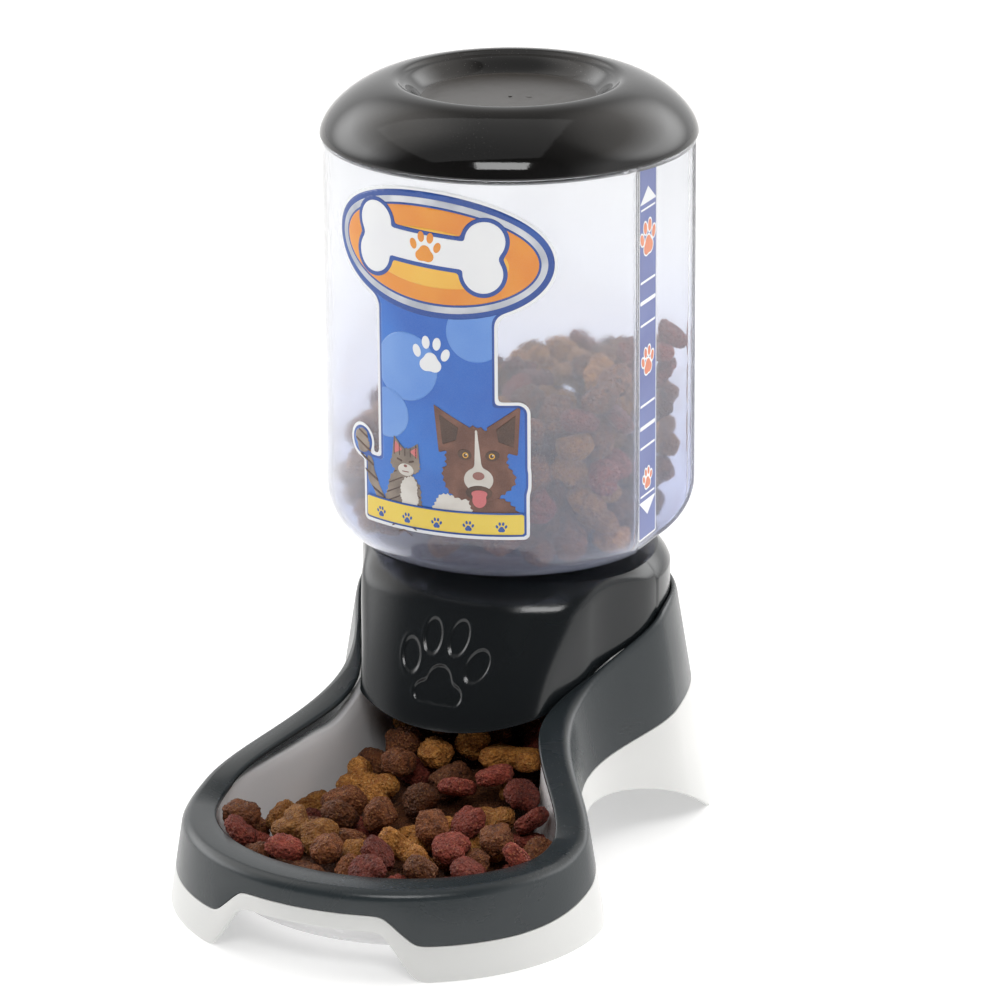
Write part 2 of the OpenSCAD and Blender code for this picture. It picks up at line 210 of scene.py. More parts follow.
def newGroup(name, inputs, outputs):
    group = bpy.data.node_groups.new(name, "ShaderNodeTree")
    for label, kind, value in inputs:
        socket = group.interface.new_socket(name=label, in_out="INPUT", socket_type=kind)
        socket.default_value = value
    for label, kind in outputs:
        group.interface.new_socket(name=label, in_out="OUTPUT", socket_type=kind)
    start = group.nodes.new("NodeGroupInput")
    end = group.nodes.new("NodeGroupOutput")
    return group, start, end


def addNode(tree, kind, links=None, **settings):
    node = tree.nodes.new(kind)
    for key, value in settings.items():
        setattr(node, key, value)
    for key, value in (links or {}).items():
        socket = node.inputs[key]
        if isinstance(value, bpy.types.NodeSocket):
            tree.links.new(value, socket)
        else:
            socket.default_value = value
    return node


def mathNode(tree, operation, a, b=0.5, clamp=False):
    node = addNode(tree, "ShaderNodeMath", {0: a, 1: b}, operation=operation, use_clamp=clamp)
    return node.outputs[0]


def rampNode(tree, source, stops):
    node = addNode(tree, "ShaderNodeValToRGB", {0: source})
    ramp = node.color_ramp
    while len(ramp.elements) > 1:
        ramp.elements.remove(ramp.elements[-1])
    ramp.elements[0].position, ramp.elements[0].color = stops[0][0], (*stops[0][1], 1)
    for place, colour in stops[1:]:
        ramp.elements.new(place).color = (*colour, 1)
    return node.outputs[0]


def mixColour(tree, factor, a, b, **settings):
    return addNode(tree, "ShaderNodeMix", {0: factor, 6: a, 7: b}, data_type="RGBA", **settings).outputs[2]


def remap(tree, source, *ends):
    # ends are the range taken from the source, then the range it is spread over
    return addNode(tree, "ShaderNodeMapRange", {0: source, **dict(enumerate(ends, 1))}).outputs[0]


def noiseNode(tree, place, scale, detail, roughness=0.5, distortion=0.0):
    return addNode(tree, "ShaderNodeTexNoise", {"Vector": place, "Scale": scale, "Detail": detail,
        "Roughness": roughness, "Distortion": distortion}).outputs[0]


def setBump(tree, shader, strength, depth, height):
    bump = addNode(tree, "ShaderNodeBump", {"Strength": strength, "Distance": depth, "Height": height})
    tree.links.new(bump.outputs[0], shader.inputs["Normal"])


def buildMouldGrain():
    # fine spark-eroded grain and slow waviness of a moulded wall
    tree, start, end = newGroup(
        "mouldGrain",
        [("Grain Scale", "NodeSocketFloat", 900), ("Wave Scale", "NodeSocketFloat", 22),
            ("Wave Share", "NodeSocketFloat", 0.3)],
        [("Height", "NodeSocketFloat"), ("Cloud", "NodeSocketFloat")],
    )
    place = addNode(tree, "ShaderNodeTexCoord").outputs["Object"]
    grain = noiseNode(tree, place, start.outputs["Grain Scale"], 3.0, 0.6)
    wave = noiseNode(tree, place, start.outputs["Wave Scale"], 2.0)
    waved = mathNode(tree, "MULTIPLY", wave, start.outputs["Wave Share"])
    tree.links.new(mathNode(tree, "ADD", grain, waved), end.inputs["Height"])
    tree.links.new(wave, end.inputs["Cloud"])
    return tree


def buildHandMarks():
    # faint smears and fine scratches left by handling and wiping
    tree, start, end = newGroup(
        "handMarks",
        [("Smear Scale", "NodeSocketFloat", 16), ("Scratch Scale", "NodeSocketFloat", 60)],
        [("Smear", "NodeSocketFloat"), ("Scratch", "NodeSocketFloat")],
    )
    place = addNode(tree, "ShaderNodeTexCoord").outputs["Object"]
    smear = noiseNode(tree, place, start.outputs["Smear Scale"], 5.0, 0.65, 1.2)
    shaped = remap(tree, smear, 0.48, 0.72)
    stretched = addNode(tree, "ShaderNodeMapping",
        {"Vector": place, "Rotation": (0.3, 0.5, 0.9), "Scale": (1, 14, 1)})
    lines = addNode(tree, "ShaderNodeTexVoronoi",
        {"Vector": stretched.outputs[0], "Scale": start.outputs["Scratch Scale"]},
        feature="DISTANCE_TO_EDGE")
    thin = remap(tree, lines.outputs[0], 0.0, 0.012, 1.0, 0.0)
    broken = mathNode(tree, "MULTIPLY", thin, shaped)
    tree.links.new(shaped, end.inputs["Smear"])
    tree.links.new(broken, end.inputs["Scratch"])
    return tree


def buildEdgeWearAndCreviceShade():
    # convex edges, broken up so that only parts of them are rubbed; also painted shade for creases, where
    # the surface folds inward
    tree, start, end = newGroup(
        "edgeWear",
        [("Edge Start", "NodeSocketFloat", 0.53), ("Edge Full", "NodeSocketFloat", 0.6)],
        [("Wear", "NodeSocketFloat"), ("Crevice", "NodeSocketFloat")],
    )
    pointed = addNode(tree, "ShaderNodeNewGeometry").outputs["Pointiness"]
    place = addNode(tree, "ShaderNodeTexCoord").outputs["Object"]
    worn = remap(tree, pointed, start.outputs["Edge Start"], start.outputs["Edge Full"])
    breakup = noiseNode(tree, place, 130.0, 4.0)
    # painted shade: concave spots, where the surface folds inward, are marked for darkening
    paintedHollowShade = remap(tree, pointed, 0.49, 0.42)
    tree.links.new(mathNode(tree, "MULTIPLY", worn, breakup), end.inputs["Wear"])
    tree.links.new(paintedHollowShade, end.inputs["Crevice"])
    return tree


def buildFineDust():
    # specks that settle on faces that look up
    tree, start, end = newGroup(
        "fineDust",
        [("Speck Scale", "NodeSocketFloat", 700), ("Amount", "NodeSocketFloat", 0.4)],
        [("Dust", "NodeSocketFloat")],
    )
    place = addNode(tree, "ShaderNodeTexCoord").outputs["Object"]
    up = addNode(tree, "ShaderNodeSeparateXYZ",
        {0: addNode(tree, "ShaderNodeNewGeometry").outputs["Normal"]}).outputs[2]
    facing = remap(tree, up, 0.35, 0.95)
    specks = addNode(tree, "ShaderNodeTexVoronoi", {"Vector": place, "Scale": start.outputs["Speck Scale"]})
    dots = remap(tree, specks.outputs["Distance"], 0.16, 0.08)
    drift = noiseNode(tree, place, 14.0, 3.0)
    patchy = remap(tree, drift, 0.5, 0.75)
    amount = mathNode(tree, "MULTIPLY", mathNode(tree, "MULTIPLY", facing, dots), patchy)
    tree.links.new(mathNode(tree, "MULTIPLY", amount, start.outputs["Amount"]), end.inputs["Dust"])
    return tree


mouldGrain = buildMouldGrain()
handMarks = buildHandMarks()
edgeWear = buildEdgeWearAndCreviceShade()
fineDust = buildFineDust()


def placeGroup(tree, group, **values):
    node = tree.nodes.new("ShaderNodeGroup")
    node.node_tree = group
    for label, value in values.items():
        node.inputs[label.replace("_", " ")].default_value = value
    return node


def startMaterial(name):
    material = bpy.data.materials.new(name)
    material.use_nodes = True
    tree = material.node_tree
    return material, tree, tree.nodes["Principled BSDF"]


def mouldedPlastic(name, look):
    # every moulded or printed part: body colour, cloudiness, wear, smears, dust, grain and painted shade in
    # creases
    material, tree, shader = startMaterial(name)
    grain = placeGroup(tree, mouldGrain, Grain_Scale=look["grainScale"], Wave_Scale=look["waveScale"],
        Wave_Share=look["waveShare"])
    marks = placeGroup(tree, handMarks, Smear_Scale=look["smearScale"], Scratch_Scale=look["scratchScale"])
    wear = placeGroup(tree, edgeWear, Edge_Start=0.52, Edge_Full=0.6)
    dust = placeGroup(tree, fineDust, Amount=look["dust"])
    cloudy = remap(tree, grain.outputs["Cloud"], 0.3, 0.7)
    base = mixColour(tree, cloudy, (*look["colour"], 1), (*look["cloudColour"], 1))
    base = mixColour(tree, mathNode(tree, "MULTIPLY", wear.outputs["Wear"], look["wear"]), base,
        (*look["wearColour"], 1))
    # painted shade: creases are darkened towards the crevice colour
    base = mixColour(tree, mathNode(tree, "MULTIPLY", wear.outputs["Crevice"], look["crevice"]), base,
        (*look["creviceShadeColour"], 1))
    base = mixColour(tree, dust.outputs["Dust"], base, (0.55, 0.53, 0.5, 1))
    tree.links.new(base, shader.inputs["Base Color"])
    smeared = remap(tree, marks.outputs["Smear"], 0, 1, look["rough"], look["rough"] + look["smear"])
    scratched = mathNode(tree, "ADD", smeared, mathNode(tree, "MULTIPLY", marks.outputs["Scratch"],
        look["scratch"]), True)
    tree.links.new(scratched, shader.inputs["Roughness"])
    setBump(tree, shader, look["bump"], look["bumpDepth"], grain.outputs["Height"])
    shader.inputs["IOR"].default_value = look.get("ior", 1.49)
    shader.inputs["Coat Weight"].default_value = look.get("coat", 0.0)
    shader.inputs["Coat Roughness"].default_value = look.get("coatRough", 0.05)
    return material


plainLook = {
    "colour": (0.8, 0.8, 0.8), "cloudColour": (0.78, 0.78, 0.78), "rough": 0.35, "smear": 0.1,
    "grainScale": 900, "waveScale": 22, "waveShare": 0.3, "smearScale": 16, "scratchScale": 60,
    "scratch": 0.15,
    "wear": 0.2, "wearColour": (0.9, 0.9, 0.9), "crevice": 0.2, "creviceShadeColour": (0.3, 0.3, 0.3),
    "dust": 0.3,
    "bump": 0.15, "bumpDepth": 0.0003,
}

whitePlastic = mouldedPlastic("whitePlastic", {
    **plainLook, "colour": (0.76, 0.76, 0.745), "cloudColour": (0.735, 0.74, 0.725), "rough": 0.3,
    "wearColour": (0.92, 0.92, 0.9), "creviceShadeColour": (0.5, 0.48, 0.44), "crevice": 0.25, "dust": 0.0,
})
trayPlastic = mouldedPlastic("trayPlastic", {
    **plainLook, "colour": (0.9, 0.895, 0.9), "cloudColour": (0.87, 0.868, 0.872), "rough": 0.22,
    "smear": 0.14,
    "wearColour": (0.93, 0.93, 0.92), "creviceShadeColour": (0.55, 0.5, 0.44), "crevice": 0.2, "dust": 0.0,
})
charcoalPlastic = mouldedPlastic("charcoalPlastic", {
    **plainLook, "colour": (0.021, 0.0275, 0.031), "cloudColour": (0.025, 0.0325, 0.036), "rough": 0.25,
    "smear": 0.07, "scratch": 0.03,
    "wearColour": (0.07, 0.09, 0.1), "wear": 0.35, "creviceShadeColour": (0.008, 0.01, 0.011), "crevice": 0.6,
    "dust": 0.35, "bump": 0.22, "waveShare": 0.25,
})
hoodPlastic = mouldedPlastic("hoodPlastic", {
    **plainLook, "colour": (0.009, 0.011, 0.0125), "cloudColour": (0.012, 0.0145, 0.016), "rough": 0.16,
    "smear": 0.07, "scratch": 0.03,
    "wearColour": (0.05, 0.06, 0.065), "wear": 0.3, "creviceShadeColour": (0.004, 0.005, 0.005), "crevice": 0.6,
    "dust": 0.2, "bump": 0.14, "waveShare": 0.2,
})
blackGloss = mouldedPlastic("blackGloss", {
    **plainLook, "colour": (0.006, 0.006, 0.006), "cloudColour": (0.008, 0.0075, 0.007), "rough": 0.07,
    "smear": 0.07,
    "wearColour": (0.03, 0.03, 0.03), "creviceShadeColour": (0.002, 0.002, 0.002), "crevice": 0.5, "dust": 0.5,
    "bump": 0.05, "grainScale": 500, "scratch": 0.1,
})
# rougher finish for the dish's floor; its lighter brown-grey colour is a painted reflection
dishSatin = mouldedPlastic("dishSatin", {
    **plainLook, "colour": (0.03, 0.026, 0.022), "cloudColour": (0.038, 0.033, 0.028), "rough": 0.3,
    "smear": 0.1, "scratch": 0.1,
    "wearColour": (0.06, 0.055, 0.05), "creviceShadeColour": (0.01, 0.01, 0.01), "bump": 0.12,
    "grainScale": 1400,
})
footRubber = mouldedPlastic("footRubber", {
    **plainLook, "colour": (0.03, 0.03, 0.03), "cloudColour": (0.045, 0.044, 0.042), "rough": 0.7,
    "bump": 0.4,
})
paleSilicone = mouldedPlastic("paleSilicone", {
    **plainLook, "colour": (0.72, 0.72, 0.7), "cloudColour": (0.68, 0.68, 0.65), "rough": 0.5, "bump": 0.3,
})


def zincSteel():
    material, tree, shader = startMaterial("zincSteel")
    marks = placeGroup(tree, handMarks, Smear_Scale=120, Scratch_Scale=400)
    grain = placeGroup(tree, mouldGrain, Grain_Scale=1600, Wave_Scale=200, Wave_Share=0.5)
    tint = mixColour(tree, marks.outputs["Smear"], (0.6, 0.6, 0.62, 1), (0.45, 0.46, 0.5, 1))
    tree.links.new(tint, shader.inputs["Base Color"])
    tree.links.new(remap(tree, marks.outputs["Smear"], 0, 1, 0.28, 0.5), shader.inputs["Roughness"])
    setBump(tree, shader, 0.2, 0.0002, grain.outputs["Height"])
    shader.inputs["Metallic"].default_value = 1
    return material


screwSteel = zincSteel()


def hazyClear():
    # clear bottle wall with a slight milkiness, more of it low down, and smears from handling; its colour
    # goes darker and bluer low down, a painted shade
    material, tree, shader = startMaterial("hazyClear")
    look = {"clearRough": 0.06, "hazyRough": 0.34, "hazeAndShadeTop": 0.26, "hazeAndShadeLow": 0.13}
    marks = placeGroup(tree, handMarks, Smear_Scale=11, Scratch_Scale=45)
    grain = placeGroup(tree, mouldGrain, Grain_Scale=260, Wave_Scale=18, Wave_Share=2.5)
    place = addNode(tree, "ShaderNodeTexCoord").outputs["Object"]
    height = addNode(tree, "ShaderNodeSeparateXYZ", {0: place}).outputs[2]
    low = remap(tree, height, look["hazeAndShadeTop"], look["hazeAndShadeLow"])
    haze = mathNode(tree, "ADD", mathNode(tree, "MULTIPLY", low, 0.35),
        mathNode(tree, "MULTIPLY", marks.outputs["Smear"], 0.3), True)
    rough = remap(tree, haze, 0, 1, look["clearRough"], look["hazyRough"])
    # painted shade: the wall's colour is darker and bluer low down
    tint = mixColour(tree, low, (0.925, 0.935, 0.955, 1), (0.74, 0.775, 0.93, 1))
    tree.links.new(tint, shader.inputs["Base Color"])
    tree.links.new(rough, shader.inputs["Roughness"])
    setBump(tree, shader, 0.12, 0.0006, grain.outputs["Height"])
    shader.inputs["Transmission Weight"].default_value = 0.9
    shader.inputs["IOR"].default_value = 1.3
    shader.inputs["Coat Weight"].default_value = 0.5
    shader.inputs["Coat Roughness"].default_value = 0.03
    # lamps shine in through the wall
    through = addNode(tree, "ShaderNodeBsdfTransparent", {0: (0.9, 0.91, 0.94, 1)})
    path = addNode(tree, "ShaderNodeLightPath")
    choose = addNode(tree, "ShaderNodeMixShader",
        {0: path.outputs["Is Shadow Ray"], 1: shader.outputs[0], 2: through.outputs[0]})
    tree.links.new(choose.outputs[0], tree.nodes["Material Output"].inputs["Surface"])
    return material


bottleClear = hazyClear()


def printedFilm(name, colour, second, scale=35.0):
    # print on film: two inks mixed in soft clouds, with a fine dot screen and a glossy laminate
    material, tree, shader = startMaterial(name)
    marks = placeGroup(tree, handMarks, Smear_Scale=22, Scratch_Scale=70)
    grain = placeGroup(tree, mouldGrain, Grain_Scale=700, Wave_Scale=scale, Wave_Share=1.0)
    place = addNode(tree, "ShaderNodeTexCoord").outputs["Object"]
    screen = addNode(tree, "ShaderNodeTexVoronoi", {"Vector": place, "Scale": 2600.0})
    dots = remap(tree, screen.outputs["Distance"], 0.2, 0.7, 0.0, 0.03)
    cloudy = remap(tree, grain.outputs["Cloud"], 0.35, 0.65)
    ink = mixColour(tree, cloudy, (*colour, 1), (*second, 1))
    ink = mixColour(tree, dots, ink, (0.9, 0.9, 0.9, 1))
    tree.links.new(ink, shader.inputs["Base Color"])
    tree.links.new(remap(tree, marks.outputs["Smear"], 0, 1, 0.3, 0.45), shader.inputs["Roughness"])
    setBump(tree, shader, 0.05, 0.0003, grain.outputs["Height"])
    shader.inputs["Coat Weight"].default_value = 0.3
    shader.inputs["Coat Roughness"].default_value = 0.12
    return material


inks = {key: printedFilm("ink" + name, *look) for key, name, *look in (
    ("white", "White", (0.86, 0.87, 0.88), (0.82, 0.83, 0.86)),
    ("navy", "Navy", (0.004, 0.055, 0.3), (0.006, 0.08, 0.38)),
    ("blue", "Blue", (0.012, 0.12, 0.52), (0.02, 0.17, 0.62)),
    ("pale", "PaleBlue", (0.11, 0.28, 0.72), (0.16, 0.34, 0.76)),
    ("silver", "Silver", (0.42, 0.45, 0.52), (0.72, 0.74, 0.78), 60.0),
    ("orange", "Orange", (0.78, 0.25, 0.02), (0.84, 0.34, 0.03)),
    ("amber", "Amber", (0.86, 0.44, 0.045), (0.9, 0.55, 0.08)),
    ("yellow", "Yellow", (0.83, 0.58, 0.05), (0.86, 0.64, 0.08)),
    ("umber", "Umber", (0.055, 0.022, 0.012), (0.1, 0.042, 0.022), 90.0),
    ("fur", "Fur", (0.3, 0.24, 0.19), (0.16, 0.12, 0.095), 110.0),
    ("cream", "Cream", (0.72, 0.69, 0.64), (0.62, 0.58, 0.53), 90.0),
    ("bark", "Bark", (0.12, 0.04, 0.022), (0.19, 0.075, 0.045), 130.0),
    ("nose", "Nose", (0.25, 0.09, 0.075), (0.3, 0.12, 0.1), 90.0),
    ("pink", "Pink", (0.7, 0.2, 0.2), (0.62, 0.15, 0.16)),
    ("strip", "StripBlue", (0.075, 0.105, 0.33), (0.09, 0.13, 0.38)),
    ("paw", "PawOrange", (0.68, 0.17, 0.06), (0.74, 0.22, 0.08)),
)}
print("finishes made:", len(bpy.data.materials))


# ---------- the base's shape, the same lines as the frame's ----------

def halfAt(y):
    f = feeder
    if y < -f["bowlY"]:
        return f["halfWidth"] * math.sqrt(max(0.0, 1 - ((y + f["bowlY"]) / f["bowlReach"]) ** 2))
    if y < -f["waistY"]:
        return f["halfWidth"] - (f["halfWidth"] - f["waistHalf"]) * ease((y + f["bowlY"]) / (f["bowlY"] - f[
            "waistY"]))
    if y < 0:
        return f["waistHalf"] + (f["towerRadius"] - f["waistHalf"]) * ease((y + f["waistY"]) / f["waistY"])
    return math.sqrt(max(0.0, f["towerRadius"] ** 2 - y * y))


def slopeFactor(y):
    return math.hypot(1, (halfAt(y + 1) - halfAt(y - 1)) / 2)


def ridgeAt(y):
    start, run = feeder["ridgeRise"]
    return feeder["rimHeight"] + (feeder["backHeight"] - feeder["rimHeight"]) * ease((y - start) / run)


def lean(z):
    return feeder["lean"] * z


arches = {"frontHeight": 21.5, "frontHalf": 34.0, "frontSlope": 13.0, "frontLift": 13.0, "frontY": -168,
    "sideHeight": 28.0, "sideY": -50, "sideFront": 66, "sideBack": 74, "backHeight": 10.0, "backHalf": 44.0,
    "backY": 44}


def archStep(x):
    return softClamp((arches["frontHalf"] + arches["frontSlope"] - abs(x)) / arches["frontSlope"])


def seamAt(x, y):
    start, run = feeder["seamRise"]
    sweep = feeder["seamFront"] + (feeder["seamBack"] - feeder["seamFront"]) * ease((y - start) / run)
    return sweep + arches["frontLift"] * archStep(x) if y < arches["frontY"] else sweep


def footAt(x, y):
    if y < arches["frontY"]:
        return arches["frontHeight"] * max(0.0, archStep(x) - 0.012)
    if y > arches["backY"]:
        return arches["backHeight"] * math.cos(math.pi / 2 * min(1, abs(x) / arches["backHalf"]))
    away = y - arches["sideY"]
    run = -away / arches["sideFront"] if away < 0 else away / arches["sideBack"]
    return arches["sideHeight"] * max(0.0, math.cos(math.pi / 2 * min(1.0, run)))


def bandAt(y):
    start, run = feeder["bandGrow"]
    return feeder["wall"] + (feeder["rimBand"] - feeder["wall"]) * ease((start - y) / run)


def outlineSide():
    f = feeder
    front = [(f["halfWidth"] * math.sin(a),
        -f["bowlY"] - f["bowlReach"] * math.cos(a)) for a in np.linspace(0, math.pi / 2, 400)]
    sides = [(halfAt(y), y) for y in np.linspace(-f["bowlY"], 0, 500)[1:]]
    back = [(f["towerRadius"] * math.cos(a), f["towerRadius"] * math.sin(a)) for a in np.linspace(0,
        math.pi / 2, 300)[1:]]
    return spaced(front + sides + back, 300)


baseLoop = mirrorLoop(outlineSide())
baseInward = inwardOf(baseLoop)


def baseSection(i, profile):
    (x, y), (u, v) = baseLoop[i], baseInward[i]
    return [(x + u * d, y + v * d, z) for d, z in profile]


posts = {
    "front": (61.43, -175.81), "backRadius": 68.5, "backAngle": 38, "frontTop": 12.0, "backTop": 49.0,
    "radius": 6.5, "hole": 1.8, "headHole": 3.2, "padHole": 5.8, "padDepth": 2.1, "ribFront": 9.4,
    "ribBack": 18.4,
}
bosses = {"radius": 4.0, "hole": 1.5, "depth": 12.7, "angles": (20, 68, 112, 160), "frontTop": 34.6,
    "backTop": 92.0}
backPost = polar(posts["backRadius"], math.radians(posts["backAngle"]))
postPlaces = [(sx * x, y, top) for (x, y), top in ((posts["front"], posts["frontTop"]),
    (backPost, posts["backTop"])) for sx in (1, -1)]


def boxPart(x0, x1, y0, y1, z0, z1, angle=0.0, at=(0, 0)):
    c, s = math.cos(angle), math.sin(angle)
    corners = [(x, y, z) for x in (x0, x1) for y in (y0, y1) for z in (z0, z1)]
    points = [(at[0] + x * c - y * s, at[1] + x * s + y * c, z) for x, y, z in corners]
    return points, [(0, 1, 3, 2), (4, 6, 7, 5), (0, 4, 5, 1), (2, 3, 7, 6), (0, 2, 6, 4), (1, 5, 7, 3)]


def boss(low, high, at):
    # blind screw boss hanging from high down to low
    r, hole, deep = bosses["radius"], bosses["hole"], low + bosses["depth"]
    return turn([(hole, low), (hole, deep), (0.01, deep), (0.01, high), (r, high), (r, low)], 32, at)


# ---------- white base with its feet and arches ----------

whiteBase = {"bottomEdge": 1.1, "topEdge": 0.45, "tongue": 3.0, "tongueThick": 1.6, "gap": 0.3}


def buildWhiteBase():
    w, b = feeder["wall"], whiteBase
    sections = []
    for i, (x, y) in enumerate(baseLoop):
        lo, hi = footAt(x, y), seamAt(x, y)
        tip = lean(hi + b["tongue"]) + w + b["gap"]
        profile = [
            (lean(lo), lo), (lean((lo + hi) / 2), (lo + hi) / 2), (lean(hi), hi), (tip, hi),
            (tip, hi + b["tongue"]),
            (tip + b["tongueThick"], hi + b["tongue"]), (tip + b["tongueThick"], hi - 2),
            (lean(hi) + w, hi - 4), (lean(lo) + w, lo),
        ]
        sections.append(baseSection(i, rounded(profile,
            [b["bottomEdge"], 0, b["topEdge"], 0.3, 0.3, 0.3, 0.5, 0.5, 0.9])))
    parts = [loft(sections)]
    for x, y, top in postPlaces:
        p = posts
        outline = [(p["hole"], top), (p["radius"], top), (p["radius"], 1), (p["padHole"], 1),
            (p["padHole"], p["padDepth"])]
        outline += [(p["headHole"], p["padDepth"]), (p["headHole"], top - 3), (p["hole"], top - 3)]
        parts.append(turn(outline, 40, (x, y)))
        heading = math.atan2(y, x) if y > 0 else math.atan2((y + 125) * 1.11, x)
        reach = p["ribBack"] - lean(top) if y > 0 else p["ribFront"]
        parts.append(boxPart(p["radius"] - 1, reach, -1, 1, 2, top - 1, heading, (x, y)))
    made = makeObject("whiteBase", *joinParts(parts), [whitePlastic])
    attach(made, "base")
    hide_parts("base_skirt")


buildWhiteBase()
print("white base built")


# ---------- dark shell: side walls, rim and sweep up to the tower ----------

darkShell = {"crest": 4.0, "frontLip": 3.5, "seamGap": 0.25, "innerEdge": 1.3, "lowEdge": 0.5,
    "lugHeight": 86.0, "lugRadius": 59.5}


def buildDarkShell():
    w, s = feeder["wall"], darkShell
    sections = []
    for i, (x, y) in enumerate(baseLoop):
        lo, hi = seamAt(x, y) + s["seamGap"], ridgeAt(y)
        band = bandAt(y) + (s["frontLip"] * ((y + 125) / 86) ** 2 if y < -125 else 0)
        crest = min(s["crest"], band * 0.45)
        curve = []
        for t in np.linspace(0, math.pi / 2, 9):
            d = crest * (1 - math.cos(t) ** 1.15)
            z = hi - s["crest"] * (1 - math.sin(t) ** 0.9)
            curve.append((lean(min(z, hi)) + d, z))
        profile = [(lean(lo), lo), (lean((lo + hi) / 2), (lo + hi) / 2)] + curve + [
            (lean(hi) + (crest + band) / 2, hi - 0.12), (lean(hi) + band, hi - 0.5),
            (lean(hi) + band + 0.01, hi - 0.5 - w),
            (lean(hi) + w + (band - w) * 0.15, hi - 0.6 - w),
            (lean(hi) + w + 0.02, hi - 1.4 - w - crest * 0.4), (lean(lo) + w, lo),
        ]
        edge = min(s["innerEdge"], (band - crest) * 0.8)
        radii = [s["lowEdge"]] + [0] * (len(curve) + 2) + [edge, 0.5, 0.6, 0.4, s["lowEdge"]]
        sections.append(baseSection(i, rounded(profile, radii)))
    parts = [loft(sections)]
    for x, y, top in postPlaces:
        parts.append(boss(top + 0.3, bosses["frontTop"] if y < 0 else bosses["backTop"], (x, y)))
    for a in bosses["angles"]:
        a = math.radians(a)
        at = polar(s["lugRadius"], a)
        z = s["lugHeight"]
        parts.append(turn([(1.8, z), (1.8, z + 3), (5, z + 3), (5, z)], 32, at))
        parts.append(boxPart(3.6, 13.0, -5, 5, z + 0.02, z + 2.98, a, at))
    made = makeObject("darkShell", *joinParts(parts), [charcoalPlastic])
    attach(made, "base")
    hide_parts("rim_shell")


buildDarkShell()
print("dark shell built")


# ---------- white bowl and chute ----------

bowl = {
    "floor": 5.5, "slope": 0.62, "thick": 2.2, "neck": 44.1, "flange": 4.0, "drop": 3.2, "topLimit": 90.0,
    "lap": 1.5,
    "slopeStart": -70.0, "bend": 8.0, "edgeDrop": 1.0, "floorColumns": 14,
    # how far in from the tray's edge, and the share of the wall's height left there
    "wallIn": (0, 0.4, 0.9, 1.5, 2.2, 3.1, 4.2, 5.6, 7.3, 9.4, 12),
    "wallShare": (1.0, 0.86, 0.72, 0.58, 0.45, 0.33, 0.225, 0.135, 0.065, 0.02, 0.0),
}


def bowlFloor(y):
    # flat under the bowl, then up the chute, with a soft bend between
    t = y - bowl["slopeStart"]
    return bowl["floor"] + bowl["slope"] * (t + math.sqrt(t * t + bowl["bend"] ** 2)) / 2


def bowlTop(y):
    under = ridgeAt(y) - feeder["wall"] - 1.0 - bowl["drop"] * ease((y + 90) / 14)
    return min(under, bowl["topLimit"])


def bowlSide():
    f = feeder
    inset = lean(f["rimHeight"]) + f["rimBand"]
    halfW = f["halfWidth"] - inset + bowl["lap"]
    reach = f["bowlReach"] - inset - darkShell["frontLip"] + bowl["lap"]
    front = [(halfW * math.sin(a), -f["bowlY"] - reach * math.cos(a)) for a in np.linspace(0, math.pi / 2,
        240)]
    sides = []
    for y in np.linspace(-f["bowlY"], 0, 300)[1:]:
        half = halfAt(y) - (lean(ridgeAt(y)) + f["rimBand"]) * slopeFactor(y) + bowl["lap"]
        sides.append((half if y < -f["waistY"] else min(half, bowl["neck"]), y))
    back = [(bowl["neck"] * math.cos(a), bowl["neck"] * math.sin(a)) for a in np.linspace(0, math.pi / 2,
        120)[1:]]
    return spaced(front + sides + back, 190)


bowlLoop = mirrorLoop(bowlSide())
bowlInward = inwardOf(bowlLoop)


def buildBowl():
    n = len(bowlLoop)
    half = n // 2

    def at(i, d):
        return bowlLoop[i][0] + bowlInward[i][0] * d, bowlLoop[i][1] + bowlInward[i][1] * d

    chains = []
    for i in range(n):
        top = bowlTop(bowlLoop[i][1])
        flange = []
        for d, z in ((-bowl["flange"], top - bowl["thick"]), (-bowl["flange"], top), (-1.2, top),
            (-0.3, top - 0.35)):
            x, y = at(i, d)
            flange.append((x, y, z))
        wall = []
        for d, share in zip(bowl["wallIn"], bowl["wallShare"]):
            x, y = at(i, d)
            z = bowlFloor(y)
            wall.append((x, y, z + (top - bowl["edgeDrop"] - z) * share))
        chains.append((flange, wall))
    points, faces = [], []
    k = len(chains[0][0]) + len(chains[0][1])
    for flange, wall in chains:
        points += flange + wall
    for i in range(n):
        a, c = i * k, ((i + 1) % n) * k
        faces += [(a + j, c + j, c + j + 1, a + j + 1) for j in range(k - 1)]
    # strips across the floor, one for each pair of mirrored edge points
    rows = []
    for i in range(half + 1):
        left, right = i * k + k - 1, ((n - i) % n) * k + k - 1
        if left == right:
            rows.append([left] * (bowl["floorColumns"] + 1))
            continue
        row = [left]
        a, b = np.array(points[left]), np.array(points[right])
        for c in range(1, bowl["floorColumns"]):
            x, y, _ = a + (b - a) * c / bowl["floorColumns"]
            row.append(len(points))
            points.append((x, y, bowlFloor(y)))
        rows.append(row + [right])
    for r in range(half):
        for c in range(bowl["floorColumns"]):
            quad = (rows[r][c], rows[r + 1][c], rows[r + 1][c + 1], rows[r][c + 1])
            unique = tuple(dict.fromkeys(quad))
            if len(unique) > 2:
                faces.append(unique)
    made = makeObject("whiteBowl", points, faces, [trayPlastic], sharpAt=50)
    thicken(made, bowl["thick"])
    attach(made, "base")
    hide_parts("bowl_tray")


buildBowl()
print("bowl built")


# ---------- hood over the tower, with the paw pressed into its front ----------

